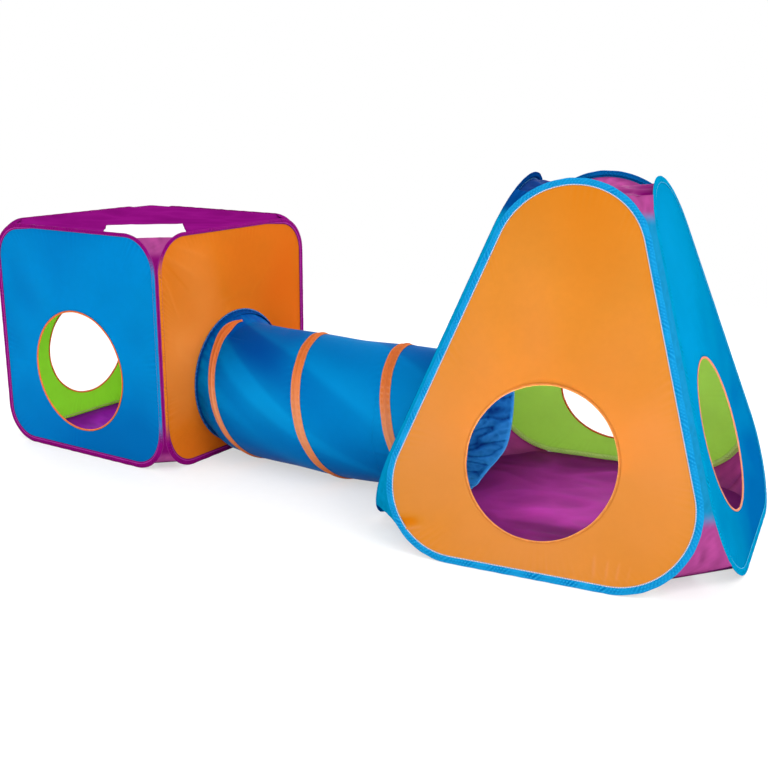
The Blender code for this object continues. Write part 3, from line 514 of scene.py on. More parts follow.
def tent_walls():
    """The tent's four walls, each named by where it faces."""
    lean = math.atan2(TENT_BASE / 2, TENT_APEX)
    wire_height = TENT_REACH * math.cos(lean) + SLEEVE_TIP_HALF * math.sin(lean)
    across, along = tent_axes()
    base_angle = math.atan2(math.hypot(TENT_BASE / 2, TENT_APEX), TENT_BASE / 2)
    width = TENT_BASE - 2 * TENT_EDGE_INSET / math.sin(base_angle)
    hoop = (triangle_arcs(width, base_angle), TENT_REACH, TENT_HEM)
    centre = np.array([TENT_X, TENT_Y, wire_height])
    apex = centre + np.array([0.0, 0.0, TENT_APEX])
    layout = {
        "port": (-across, -along, TENT_PORT),
        "front": (-along, across, TENT_FRONT_WINDOW),
        "rear": (along, -across, TENT_REAR_WINDOW),
        "side": (across, along, TENT_SIDE_WINDOW),
    }
    walls = {}
    for key, (outward, right, opening) in layout.items():
        origin = centre + outward * TENT_BASE / 2
        walls[key] = Wall("tent_" + key, origin, right, unit(apex - origin), hoop, opening)
    return walls


# ---------------------------------------------------------------- materials

class Nodes:
    """A tree of shader nodes, put together by short calls."""

    def __init__(self, tree):
        self.tree = tree
        self.tree.nodes.clear()

    def node(self, kind, settings=None, **inputs):
        """Add a node; an input is a value or another node's output."""
        made = self.tree.nodes.new(kind)
        for key, value in (settings or {}).items():
            setattr(made, key, value)
        for key, value in inputs.items():
            self.feed(made.inputs[key.replace("_", " ")], value)
        return made

    def feed(self, socket, value):
        """Set or link one input."""
        if isinstance(value, bpy.types.NodeSocket):
            self.tree.links.new(value, socket)
        else:
            socket.default_value = value

    def math(self, operation, *values, clamp=False):
        """Math node on up to three values."""
        made = self.node("ShaderNodeMath", {"operation": operation, "use_clamp": clamp})
        for socket, value in zip(made.inputs, values):
            self.feed(socket, value)
        return made.outputs[0]

    def mix(self, share, first, second):
        """Mix of two colours."""
        made = self.node("ShaderNodeMix", {"data_type": "RGBA"})
        self.feed(made.inputs["Factor"], share)
        self.feed(made.inputs[6], first)
        self.feed(made.inputs[7], second)
        return made.outputs[2]

    def ramp(self, value, low, high, to_low=0.0, to_high=1.0):
        """Value moved from one range to another, held at its ends."""
        made = self.node("ShaderNodeMapRange", {"clamp": True})
        for key, number in (("Value", value), ("From Min", low), ("From Max", high),
                            ("To Min", to_low), ("To Max", to_high)):
            self.feed(made.inputs[key], number)
        return made.outputs[0]

    def number(self, name):
        """Number kept at each point of the mesh."""
        return self.node("ShaderNodeAttribute", {"attribute_name": name}).outputs["Fac"]

    def place(self):
        """Position on the piece, in metres."""
        return self.node("ShaderNodeTexCoord").outputs["Object"]

    def noise(self, place, scale, detail=2.0, roughness=0.5):
        """Noise value around 0.5."""
        made = self.node("ShaderNodeTexNoise", Vector=place, Scale=scale, Detail=detail,
                         Roughness=roughness)
        return made.outputs["Fac"]

    def threads(self, place, way):
        """Fine regular ridges of the weave along one direction."""
        made = self.node("ShaderNodeTexWave", {"bands_direction": way}, Vector=place, Scale=150.0,
                         Distortion=0.6, Detail=1.0)
        return made.outputs["Fac"]

    def bump(self, height, distance, strength=1.0, normal=None):
        """Bump from a height in 0..1 that stands for a distance."""
        made = self.node("ShaderNodeBump", Height=height, Distance=distance, Strength=strength)
        if normal is not None:
            self.feed(made.inputs["Normal"], normal)
        return made.outputs["Normal"]

    def both(self, share, first, second):
        """Mix of two surfaces or backgrounds."""
        made = self.node("ShaderNodeMixShader", Fac=share)
        self.tree.links.new(first.outputs[0], made.inputs[1])
        self.tree.links.new(second.outputs[0], made.inputs[2])
        return made

    def finish(self, surface, kind="ShaderNodeOutputMaterial"):
        """Connect the surface to the output."""
        out = self.node(kind)
        self.tree.links.new(surface.outputs[0], out.inputs["Surface"])


def new_material(name):
    """Empty material and its nodes."""
    material = bpy.data.materials.new(name)
    material.use_nodes = True
    return material, Nodes(material.node_tree)


def rgb(colour, factor=1.0):
    """Colour as four numbers, brightened or darkened."""
    return tuple(min(part * factor, 1.0) for part in colour) + (1.0,)


def shade_pair(colour, up=1.25, down=0.72):
    """A fabric's colour as painted light on a ridge and as painted shade in a hollow."""
    light = tuple(min(part * up + 0.004, 1.0) for part in colour)
    return light, tuple(part * down for part in colour)


def cloth(name, colour, thread=None, up=1.25, down=0.72, light=None, dark=None, second=None,
          through=0.3, roughness=0.46, shine=0.008, stitch_at=0.0020, stitch_half=0.0006):
    """Thin woven polyester: weave, blotchy tone, light on folds, and a row of stitches.

    Its ridges and hollows get painted light and painted shade, in lighter and darker copies of its
    colour unless given, after a number kept in the mesh; a second colour shows where the mesh says so.
    """
    plain_light, plain_dark = shade_pair(colour, up, down)
    light, dark = light or plain_light, dark or plain_dark
    material, s = new_material(name)
    place = s.place()
    # Painted light where the mesh's number is above zero and painted shade where it is below
    crease = s.number("crease")
    raised = s.math("MAXIMUM", crease, 0.0, clamp=True)
    sunk = s.math("MULTIPLY", crease, -1.0, clamp=True)
    broad = s.noise(place, 3.1)
    fine = s.noise(place, 42.0, 3.0, 0.6)
    tone = s.mix(s.ramp(broad, 0.3, 0.7), rgb(colour, 0.94), rgb(colour, 1.05))
    tone = s.mix(s.ramp(fine, 0.35, 0.65, 0.0, 0.20), tone, rgb(colour, 0.84))
    lit, deep = rgb(light), rgb(dark)
    if second:
        other = s.number("second")
        other_light, other_dark = shade_pair(second)
        tone = s.mix(other, tone, rgb(second))
        lit = s.mix(other, lit, rgb(other_light))
        deep = s.mix(other, deep, rgb(other_dark))
    tone = s.mix(raised, tone, lit)
    tone = s.mix(sunk, tone, deep)

    weave = s.math("MULTIPLY", s.math("ADD", s.threads(place, "X"), s.threads(place, "Z")), 0.5)
    tone = s.mix(s.ramp(weave, 0.2, 0.9, 0.07, 0.0), tone, rgb(dark))
    normal = s.bump(weave, 0.00012, 0.5)
    normal = s.bump(fine, 0.0012, 0.35, normal)
    if thread:
        stitch_pitch = 0.0042
        off_row = s.math("ABSOLUTE", s.math("SUBTRACT", s.number("seam"), stitch_at))
        in_row = s.math("LESS_THAN", off_row, stitch_half)
        step = s.math("FRACT", s.math("MULTIPLY", s.number("along"), 1 / stitch_pitch))
        stitch = s.math("MULTIPLY", in_row, s.math("LESS_THAN", step, 0.66))
        tone = s.mix(stitch, tone, rgb(thread))
        normal = s.bump(stitch, 0.0004, 0.8, normal)
    rough = s.ramp(s.noise(place, 16.0), 0.3, 0.7, roughness - 0.06, roughness + 0.08)
    skin = s.node("ShaderNodeBsdfPrincipled", Base_Color=tone, Roughness=rough, Normal=normal,
                  Specular_IOR_Level=shine)
    passing = s.node("ShaderNodeBsdfTranslucent", Color=tone, Normal=normal)
    s.finish(s.both(through, skin, passing))
    return material


def steel_shader():
    """Drawn spring steel, slightly oiled and worn."""
    material, s = new_material("drawn_steel")
    place = s.place()
    grain = s.noise(place, 260.0, 3.0, 0.6)
    worn = s.noise(place, 9.0, 3.0, 0.6)
    tone = s.mix(s.ramp(worn, 0.35, 0.7), (0.50, 0.51, 0.54, 1.0), (0.34, 0.33, 0.32, 1.0))
    rough = s.ramp(grain, 0.3, 0.7, 0.24, 0.42)
    normal = s.bump(grain, 0.0001, 0.4)
    s.finish(s.node("ShaderNodeBsdfPrincipled", Base_Color=tone, Roughness=rough, Metallic=1.0,
                    Normal=normal))
    return material


def net_shader():
    """White knitted yarn."""
    material, s = new_material("white_yarn")
    knit = s.noise(s.place(), 420.0)
    tone = s.mix(s.ramp(knit, 0.3, 0.7), (0.84, 0.84, 0.85, 1.0), (0.96, 0.96, 0.96, 1.0))
    normal = s.bump(knit, 0.0003, 0.6)
    rough = s.ramp(knit, 0.3, 0.7, 0.62, 0.80)
    skin = s.node("ShaderNodeBsdfPrincipled", Base_Color=tone, Roughness=rough, Normal=normal,
                  Specular_IOR_Level=0.2)
    passing = s.node("ShaderNodeBsdfTranslucent", Color=tone)
    s.finish(s.both(0.35, skin, passing))
    return material


# Linear colours of the fabrics
CUBE_BLUE = (0.000, 0.300, 0.690)
CUBE_ORANGE = (0.775, 0.220, 0.014)
CUBE_GREEN = (0.360, 0.700, 0.060)
MAGENTA = (0.270, 0.003, 0.185)
ROOF_MAGENTA = (0.230, 0.004, 0.175)
# WEB_MAGENTA is the magenta fabric made lighter, as painted light where light shines through the webs
# and the cap
WEB_MAGENTA = (0.460, 0.075, 0.310)
TUNNEL_BLUE = (0.000, 0.205, 0.530)
# COLLAR_BLUE is the collar's navy; on the tent's port sleeve, the left web's top and the cap's
# port–front corner it is painted shade
COLLAR_BLUE = (0.001, 0.060, 0.270)
BAND_ORANGE = (0.720, 0.185, 0.045)
TENT_ORANGE = (0.730, 0.285, 0.036)
TENT_BLUE = (0.000, 0.298, 0.550)
SLEEVE_BLUE = (0.010, 0.320, 0.650)
TENT_GREEN = (0.420, 0.620, 0.140)
CUBE_FLOOR_PURPLE = (0.240, 0.005, 0.320)
TENT_FLOOR_PURPLE = (0.270, 0.022, 0.205)
# HIDDEN_BLUE on the tent's rear sleeve is painted shade on light blue sleeve cloth
HIDDEN_BLUE = (0.002, 0.150, 0.460)
GATHER_BLUE = (0.014, 0.170, 0.540)
TRIM_ORANGE = (0.800, 0.160, 0.030)
TRIM_WALL = (0.720, 0.250, 0.055)
TRIM_RED = (0.560, 0.045, 0.008)
TRIM_PALE = (0.800, 0.300, 0.180)
THREAD_ORANGE = (0.900, 0.420, 0.180)
THREAD_BLUE = (0.200, 0.520, 0.850)
THREAD_PURPLE = (0.520, 0.060, 0.400)
THREAD_PINK = (0.860, 0.700, 0.660)

# Lit and shaded colours of fabrics that differ from their plain colour by more than tone
FRONT_DARK = (0.000, 0.180, 0.520)
PORT_LIGHT = (0.860, 0.310, 0.055)
PORT_DARK = (0.745, 0.158, 0.008)
TENT_FRONT_LIGHT = (0.740, 0.305, 0.080)
TENT_FRONT_DARK = (0.720, 0.225, 0.006)
SIDE_DARK = (0.000, 0.150, 0.430)
SLEEVE_LIGHT = (0.060, 0.470, 0.800)
SLEEVE_DARK = (0.000, 0.170, 0.460)
TUNNEL_LIGHT = (0.002, 0.330, 0.700)
TUNNEL_DARK = (0.000, 0.072, 0.335)
BAND_LIGHT = (0.780, 0.310, 0.150)
BAND_DARK = (0.600, 0.110, 0.018)
GATHER_LIGHT = (0.040, 0.330, 0.780)
GATHER_DARK = (0.004, 0.040, 0.240)

# Folds seen in the photograph: start, end, width, height and share of painted light on their ridges
CUBE_PORT_FOLDS = (
    ((-0.340, 0.690), (-0.200, 0.610), 0.006, 0.0012, 0.22),
    ((-0.340, 0.670), (-0.230, 0.560), 0.005, -0.0010, -0.20),
    ((-0.300, 0.715), (-0.140, 0.660), 0.005, 0.0010, 0.18),
    ((-0.345, 0.630), (-0.280, 0.480), 0.005, 0.0010, 0.20),
    ((-0.100, 0.500), (0.060, 0.540), 0.006, 0.0010, 0.16),
    ((0.060, 0.500), (0.180, 0.600), 0.007, 0.0010, 0.14),
)
TENT_FRONT_FOLDS = (
    ((-0.060, 1.300), (-0.105, 1.060), 0.008, 0.0030, 0.60),
    ((-0.005, 1.310), (-0.030, 1.000), 0.009, 0.0030, 0.55),
    ((0.050, 1.290), (0.045, 1.040), 0.008, 0.0026, 0.55),
    ((-0.085, 1.240), (-0.150, 1.000), 0.010, -0.0024, -0.28),
    ((0.085, 1.240), (0.100, 1.000), 0.010, -0.0024, -0.28),
    ((0.170, 0.016), (0.166, 0.075), 0.004, 0.0016, 0.80),
    ((0.200, 0.016), (0.200, 0.070), 0.003, 0.0016, 0.80),
    ((0.225, 0.018), (0.228, 0.068), 0.003, 0.0014, 0.80),
    ((0.250, 0.020), (0.256, 0.062), 0.003, 0.0014, 0.40),
    ((-0.385, 0.065), (-0.300, 0.085), 0.014, -0.0030, -1.60),
    ((-0.360, 0.050), (-0.290, 0.070), 0.004, 0.0024, 0.90),
)

# Broad areas of painted light and painted shade seen in the photograph: place, size and share of light
CUBE_FRONT_PAINTED_LIGHT_AREAS = (
    (0.00, 0.03, 0.17, -0.85), (-0.28, 0.08, 0.16, -0.55), (0.26, 0.07, 0.18, -1.00),
    (-0.05, 0.74, 0.22, -0.50), (-0.34, 0.40, 0.12, -0.35),
)
CUBE_PORT_PAINTED_LIGHT_AREAS = (
    (-0.25, 0.34, 0.22, 0.95), (-0.26, 0.10, 0.14, -0.30), (-0.18, 0.66, 0.16, 0.10),
    (0.22, 0.60, 0.22, -0.75), (0.30, 0.36, 0.16, -0.90), (0.10, 0.04, 0.14, -0.20),
)
TENT_FRONT_PAINTED_LIGHT_AREAS = (
    (0.00, 1.28, 0.22, -0.90), (0.05, 0.98, 0.26, -0.45), (-0.33, 0.30, 0.22, 0.75),
    (0.00, 0.05, 0.20, 0.60), (0.33, 0.34, 0.24, 0.65), (-0.12, 0.62, 0.20, 0.25),
)
TENT_SIDE_PAINTED_LIGHT_AREAS = (
    (0.30, 0.05, 0.26, -1.00), (0.00, 0.03, 0.20, -0.70), (0.22, 0.45, 0.20, -0.30),
    (-0.15, 0.80, 0.26, 0.30),
)


# ---------------------------------------------------------------- pieces of a wall

def ray_folds(wall, flat, seam, rim, seed):
    """Long soft folds that run from the hoop's corners towards the opening."""
    angle = np.arctan2(flat[..., 1] - wall.centre[1], flat[..., 0] - wall.centre[0])
    return wander(seed, angle, 0.55) * ease(seam / 0.09) * ease(rim / 0.12)


def seam_gathers(seed, along, seam):
    """Small puckers square to the hoop's seam, which fade into the panel."""
    pitch, depth = 0.019, 0.030
    strength = 0.55 + 0.45 * wander(seed, along, 0.35)
    run = depth * (0.8 + 0.5 * wander(seed + 1, along, 0.11))
    phase = FULL * along / pitch + 2.2 * wander(seed + 2, along, 0.13)
    fade = ease((seam - 0.002) / 0.010) * np.exp(-seam / np.maximum(run, 0.006))
    return creased(np.sin(phase / 2)) * strength * fade


def tapered_fold(flat, start, end, width):
    """Ridge along a short line, widest in its middle and gone at its ends."""
    start, line = np.array(start), np.array(end) - start
    share = np.clip(((flat - start) @ line) / np.linalg.norm(line) ** 2, 0.0, 1.0)
    off = np.linalg.norm(flat - start - share[..., None] * line, axis=-1)
    return np.exp(-(off / width) ** 2) * np.sin(math.pi * np.clip(share, 0.02, 0.98)) ** 0.5


def add_panel(wall, shader, seed, folds, painted_areas):
    """Cloth panel from its sleeve to the binding of its opening."""
    points, outward, along, _ = wall.outline(PANEL_SPACING)
    outer = points - outward * (wall.hem_at(points) - PANEL_TUCK)[:, None]
    inner = wall.centre + unit(outer - wall.centre) * (wall.radius + TRIM_COVER)
    shares = np.linspace(0.0, 1.0, PANEL_ROWS)[:, None] ** 1.35
    flat = outer[None] + (inner - outer)[None] * shares[..., None]
    length = np.linalg.norm(inner - outer, axis=1)[None]
    seam, rim = shares * length, (1.0 - shares) * length
    x, y = flat[..., 0], flat[..., 1]

    puckers = seam_gathers(seed, along[None], seam)
    soft = crumple(seed + 10, x, y, 0.34) * (ease(seam / 0.06) * ease(rim / 0.05))
    rays = ray_folds(wall, flat, seam, rim, seed + 20)
    ruck = crumple(seed + 30, x, y, 0.028, stretch=2.0) * np.exp(-rim / 0.020) * ease(rim / 0.004)
    out = 0.0007 * puckers + 0.003 * soft + 0.0012 * rays + 0.0003 * ruck
    # Painted light on the ridges and painted shade in the hollows of the puckers, rays, rucks and folds
    crease = 0.55 * puckers + 0.10 * soft + 0.14 * rays + 0.15 * ruck
    for start, end, width, height, share in folds:
        ridge = tapered_fold(flat, start, end, width)
        out = out + ridge * height
        crease = crease + ridge * share
    # Broad painted light and painted shade in soft round areas
    for middle_x, middle_y, size, share in painted_areas:
        off = (x - middle_x) ** 2 + (y - middle_y) ** 2
        crease = crease + share * np.exp(-off / size ** 2)
    name = wall.name + "_panel_cloth"
    mesh = grid_mesh(name, wall.place(flat, out), wrap_columns=True, crease=crease, seam=seam,
                     along=along[None])
    piece = stand_in(name, mesh, shader, wall.name + "_panel", wall.body)
    size = outer.max(axis=0) - outer.min(axis=0)


def sleeve_profile(wall):
    """Folded strip round the wire, from its front seam over the outer fold to its back seam."""
    stops = np.array([0.0, 0.06, 0.14, 0.22, 0.30, 0.38, 0.46, 0.54, 0.62, 0.70, 0.79, 0.88,
                      0.95, 0.985, 1.0])
    out = stops * (wall.hem + wall.reach - CLOTH / 2) - wall.hem
    bulge = np.exp(-(out / (1.25 * WIRE_CHANNEL)) ** 2)
    half = SLEEVE_TIP_HALF + (SLEEVE_HALF - SLEEVE_TIP_HALF) * bulge - CLOTH / 2
    half = half * np.sqrt(np.clip(1.0 - np.clip((stops - 0.93) / 0.07, 0.0, 1.0) ** 2, 0.0, 1.0))
    front = np.stack([out, half], axis=-1)
    return np.concatenate([front, (front * (1.0, -1.0))[:-1][::-1]])


def add_sleeve(wall, shader, seed, puckers, edge_side=0, lining=False, plain_foot=0):
    """Sewn sleeve, gathered in fine diagonal puckers over the wire.

    The shader's second colour shows on the edge side's hem, inside the tent or cube near
    the ground if the sleeve has a lining, and at a plain foot.
    """
    pitch, lean, height = puckers
    points, outward, along, length = wall.outline(SLEEVE_SPACING)
    along = along[:, None]
    profile = sleeve_profile(wall)
    away, half = profile[None, :, 0], profile[None, :, 1]
    strip = travel(profile)
    phase = FULL * round(length / pitch) * along / length
    drift = FULL * lean * away / pitch
    jitter = 2.6 * wander(seed, along, 0.055)
    ripple = creased(np.sin((phase + drift + jitter) / 2))
    strength = 0.55 + 0.55 * wander(seed + 3, along, 0.07)
    relief = ripple * strength * (1.0 - 0.75 * np.abs(away / wall.reach) ** 3)
    fold = ease((away / wall.reach - 0.3) / 0.7)
    hems = wall.hem_at(points)
    out = away * np.where(away < 0, hems[:, None] / wall.hem, 1.0)
    out = out + 0.0005 * wander(seed + 5, along, 0.05) * fold
    across = half + face_side(half) * relief * height
    flat = points[:, None] + outward[:, None] * out[..., None]
    x, y = flat[..., 0], flat[..., 1]
    second = np.zeros(out.shape)
    if edge_side:
        straight = ease((y - 0.09) / 0.09) * ease((0.70 - y) / 0.09) * (edge_side * x > 0.2)
        second = straight * ease((0.0074 - out) / 0.0010)
    if lining:
        second = np.maximum(second, ease((0.20 - y) / 0.04) * (half < 0))
    if plain_foot:
        second = np.maximum(second, ease((0.36 - y) / 0.06) * (plain_foot * x > 0.2))
    # The puckers' relief also gives painted light on their ridges and painted shade in their hollows
    name = wall.name + "_sleeve_cloth"
    mesh = grid_mesh(name, wall.place(flat, across), wrap_rows=True, flip=True, crease=relief,
                     seam=from_ends(strip)[None], along=along, second=second)
    piece = stand_in(name, mesh, shader, wall.name + "_sleeve", wall.body)


def add_trim(wall, shader, seed):
    """Folded binding over the raw edge of an opening."""
    angles = round_angles(TRIM_STEPS)[:, None]
    along = angles * wall.radius
    stops = np.array([1.0, 0.82, 0.6, 0.36, 0.14, 0.03, 0.0])
    half = TRIM_HALF * np.sqrt(np.clip(1.0 - np.clip((0.2 - stops) / 0.2, 0.0, 1.0) ** 2, 0.0, 1.0))
    front = np.stack([stops * TRIM_WIDTH, half * (1.0 - 0.30 * stops)], axis=-1)
    section = np.concatenate([front, (front * (1.0, -1.0))[:-1][::-1]])
    away, half = section[None, :, 0], section[None, :, 1]
    strip = travel(section)
    turns = round(FULL * wall.radius / TRIM_PUCKER)
    pucker = np.sin(turns * angles + 1.4 * wander(seed, along, 0.06))
    fade = np.sin(math.pi * np.clip(away / TRIM_WIDTH, 0.0, 1.0)) ** 0.6
    relief = creased(pucker * 0.8) * fade * 0.6
    waver = 0.0006 * wander(seed + 1, along, 0.09) * (1 - away / TRIM_WIDTH)
    points = wall.opening_point(angles, wall.radius + away + waver,
                                half + face_side(half) * relief * 0.00035)
    # The puckers' relief also gives painted light on their ridges and painted shade in their hollows
    name = wall.name + "_binding"
    mesh = grid_mesh(name, points, wrap_rows=True, crease=relief, seam=from_ends(strip)[None],
                     along=along)
    piece = stand_in(name, mesh, shader, wall.name + "_trim", wall.body)


# ---------------------------------------------------------------- webs, sheets and cap

def foot_ends(left_wall, right_wall, middle, reach, spread):
    """Ends of a web's lowest edge, on the cut corner of the ground sheet."""
    level = np.array([1.0, 1.0, 0.0])
    first = unit(left_wall.outward * level)
    second = unit(right_wall.outward * level)
    centre = np.array(middle + (WEB_FOOT_HEIGHT,))
    return (centre + first * (reach + spread) + second * (reach - spread),
            centre + first * (reach - spread) + second * (reach + spread))


def add_web(key, walls, shader, angles, seed, foot, parted, narrow):
    """Corner web across two walls, or at the open corner half on each.

    The shader's second colour shows where the web is narrower than given.
    """
    runs = []
    for wall, end, side in zip(walls, foot, (1, -1)):
        run = wall.place(wall.edge_run(wall.reach - 0.0004, *angles, side))
        tuck = np.linspace(0.0, 1.0, 8)[:-1, None]
        runs.append(np.concatenate([between(end, run[:1], tuck), run]))
    left, right = runs
    share = np.linspace(0.0, 1.0, WEB_COLUMNS)[None]
    width = np.linalg.norm(right - left, axis=1)[:, None]
    along = travel((left + right) / 2)[:, None] + np.zeros(share.shape)
    length = float(along[-1, 0])
    across = (share - 0.5) * width
    arch = np.sin(math.pi * share)
    wide = ease(width / 0.10)
    ruck = crumple(seed, along, across, 0.030, stretch=1.8) * arch * wide
    fine = creased(wander(seed + 1, along + 0.3 * across, 0.016)) * arch * (1 - 0.6 * wide)
    out = -0.05 * width * arch + 0.0022 * ruck + 0.0004 * fine
    outward = unit(walls[0].outward + walls[1].outward)
    points = between(left[:, None], right[:, None], share[..., None]) + out[..., None] * outward
    # The rucks and ripples get painted light on their ridges and painted shade in their hollows
    numbers = {
        "crease": 0.55 * ruck + 0.35 * fine,
        "seam": np.minimum(share, 1 - share) * width,
        "along": along,
        "second": ease((narrow - width) / 0.02) + np.zeros(share.shape),
    }
    if narrow >= 1.0:
        numbers["second"] = numbers["second"] * ease((length - along - 0.05) / 0.05)

    kind = walls[0].name.split("_")[0]
    middle = WEB_COLUMNS // 2
    halves = [("_a", slice(0, middle + 1)), ("_b", slice(middle, WEB_COLUMNS))]
    for index, (ending, part) in enumerate(halves if parted else [("", slice(0, WEB_COLUMNS))]):
        name = kind + "_web_" + key + ending
        values = {number: value[:, part] for number, value in numbers.items()}
        mesh = grid_mesh(name, points[:, part], **values)
        piece = stand_in(name, mesh, shader, kind + "_corner_" + key)
        if parted:
            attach(piece, walls[index].body)
        else:
            start, end = points[len(points) // 2, 0], points[len(points) // 2, -1]
            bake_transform(piece)


def cube_squash(piece):
    """A slack sheet of the cube rides on the cube's port wall."""
    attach(piece, "cube_port_wall")
    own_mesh(piece)


def tent_squash(piece, anchor):
    """A slack sheet of the tent rides on the tent's port wall."""
    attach(piece, "tent_port_wall")
    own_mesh(piece)


def add_floor(kind, half, cuts, place, shader, squash, seed, lift):
    """Ground sheet lying in soft wrinkles, tucked against the bottom sleeves."""
    shares = np.linspace(-1.0, 1.0, FLOOR_STEPS)
    y = shares[:, None] * half
    low_left, low_right, high_right, high_left = cuts
    ends = []
    for low_cut, high_cut in ((low_right, high_right), (low_left, high_left)):
        cut = np.where(y < 0, low_cut, high_cut)
        ends.append(half - np.maximum(np.abs(y) - (half - cut), 0.0))
    right, left = ends
    x = -left + (left + right) * (shares[None] + 1) / 2
    y = y + np.zeros(x.shape)
    edge = np.minimum(half - np.abs(y), np.minimum(right - x, left + x))
    inside = ease(edge / 0.05)
    broad = np.maximum(crumple(seed, x, y, 0.22), -0.3)
    ridge = np.maximum(creased(crumple(seed + 1, x, y, 0.16, stretch=1.7)), -0.2)
    rays = creased(crumple(seed + 2, x, y, 0.09, stretch=2.6))
    z = 0.0011 + inside * (0.45 * lift * (broad + 0.3) + 0.35 * lift * (ridge + 0.2)
                           + 0.0008 * (rays + 1.0))
    local = np.stack([x, y, z], axis=-1)
    points = local @ np.array(place.to_3x3()).T + np.array(place.translation)
    # The wrinkles get painted light on their ridges and painted shade in their hollows
    name = kind + "_floor_cloth"
    mesh = grid_mesh(name, points, crease=inside * (0.25 * broad + 0.35 * ridge + 0.22 * rays),
                     seam=edge, along=x + y)
    piece = stand_in(name, mesh, shader, kind + "_floor")
    squash(piece)


def roof_height(x, y):
    """Height of the cube's roof, which sags a little between its hoops, and its painted light and shade.
    """
    half = CUBE_WIDTH / 2
    edge = np.minimum(half - np.abs(x), half - np.abs(y))
    inside = ease(edge / 0.16)
    broad = crumple(ROOF_SEED, x, y, 0.30)
    ridge = creased(crumple(ROOF_SEED + 1, x, y, 0.12, stretch=1.8)) * ease(edge / 0.03)
    past = CUBE_CORNER_RADIUS + CUBE_EDGE_INSET - half
    run = np.clip(np.minimum(x, -y) + past, 0.0, 0.0478)
    bend = CUBE_CORNER_RADIUS - np.sqrt(CUBE_CORNER_RADIUS ** 2 - run ** 2)
    z = ROOF_LEVEL - bend - 0.010 * inside + 0.0025 * broad * inside + 0.0012 * ridge
    # The second value is painted light on the roof's ridges and painted shade in its hollows
    return z, 0.30 * broad + 0.32 * ridge


def diagonal_points(left, outward):
    """Points given across and along the diagonal through the cube's near corner."""
    share = math.sqrt(0.5)
    return share * (outward - left), -share * (outward + left)


def roof_patch(columns, low, high, count):
    """Grid of roof points between two lines across the diagonal."""
    grid = low[None] + (high - low)[None] * np.linspace(0.0, 1.0, count)[:, None]
    across = columns[None] + np.zeros(grid.shape)
    x, y = diagonal_points(across, grid)
    z, crease = roof_height(x, y)
    edge = np.minimum(ROOF_HALF - np.abs(x), ROOF_HALF - np.abs(y))
    return grid_mesh("roof_patch", np.stack([x, y, z], axis=-1), crease=crease, seam=edge, along=across)


def join_pieces(name, meshes):
    """One mesh of several, welded where they meet."""
    build = bmesh.new()
    for mesh in meshes:
        build.from_mesh(mesh)
        bpy.data.meshes.remove(mesh)
    bmesh.ops.remove_doubles(build, verts=build.verts[:], dist=1e-5)
    recalculate(build)
    joined = bpy.data.meshes.new(name)
    build.to_mesh(joined)
    build.free()
    return joined


def add_roof(shader):
    """Roof sheet with a notch at the near corner, which the netting fills."""
    limit = ROOF_CORNER - ROOF_CUT / ROOT_TWO
    columns = []
    for first, last in ((-limit, -NET_RIGHT), (-NET_RIGHT, NET_LEFT), (NET_LEFT, limit)):
        columns.append(np.linspace(first, last, round((last - first) / ROOF_SPACING)))
    left = np.unique(np.round(np.concatenate(columns), 6))
    near = ROOF_CORNER - np.abs(left)
    far = -np.minimum(near, ROOF_CORNER - ROOF_FAR_CUT)
    meshes = [roof_patch(left, far, np.minimum(near, NET_START), 70)]
    for side in (left >= NET_LEFT - 1e-6, left <= -NET_RIGHT + 1e-6):
        chosen = side & (near > NET_START + 1e-4)
        low = np.full(chosen.sum(), NET_START)
        meshes.append(roof_patch(left[chosen], low, near[chosen], 34))
    name = "cube_roof_cloth"
    piece = stand_in(name, join_pieces(name, meshes), shader, "cube_roof")
    cube_squash(piece)


def strands(first, last, count, thickness):
    """Flat yarns between rows of first and last corners, each a closed ribbon."""
    share = np.linspace(0.0, 1.0, count)[:, None, None, None]
    flat = between(first[None], last[None], share)
    x, y = diagonal_points(flat[..., 0], flat[..., 1])
    z = roof_height(x, y)[0] + np.array([-0.5, -0.5, 0.5, 0.5]) * thickness
    points = np.stack([x, y, z], axis=-1)
    steps, yarns = points.shape[:2]
    number = np.arange(steps * yarns * 4).reshape(steps, yarns, 4)
    turned = np.roll(number, -1, axis=2)
    faces = np.stack([number[:-1], turned[:-1], turned[1:], number[1:]], axis=-1).reshape(-1, 4)
    ends = np.concatenate([number[0][:, ::-1], number[-1]])
    mesh = bpy.data.meshes.new("strands")
    mesh.from_pydata(points.reshape(-1, 3).tolist(), [], np.concatenate([faces, ends]).tolist())
    return mesh


def add_net(shader):
    """Fine netting: crossing flat yarns along the diagonal and across it."""
    side = np.array([-0.5, 0.5, 0.5, -0.5])[None] * NET_YARN
    inset = NET_GAP + NET_YARN / 2
    left = np.arange(-NET_RIGHT + inset, NET_LEFT - inset, NET_PITCH)[:, None]
    top = np.minimum(ROOF_CORNER - np.abs(left), NET_END) - NET_GAP
    columns = left + side
    none = np.zeros(columns.shape)
    first = np.stack([columns, NET_START + NET_GAP + none], axis=-1)
    last = np.stack([columns, top + none], axis=-1)
    lengthwise = strands(first, last, 44, 0.0009)
    out = np.arange(NET_START + inset, NET_END - 2 * NET_GAP, NET_PITCH)[:, None]
    low = np.maximum(-NET_RIGHT, out - ROOF_CORNER) + NET_GAP
    high = np.minimum(NET_LEFT, ROOF_CORNER - out) - NET_GAP
    rows = out + side
    none = np.zeros(rows.shape)
    first = np.stack([low + none, rows], axis=-1)
    last = np.stack([high + none, rows], axis=-1)
    crosswise = strands(first, last, 26, 0.0011)
    name = "cube_roof_netting"
    mesh = join_pieces(name, [lengthwise, crosswise])
    cube_squash(stand_in(name, mesh, shader, "cube_roof_net", thickness=0.0))


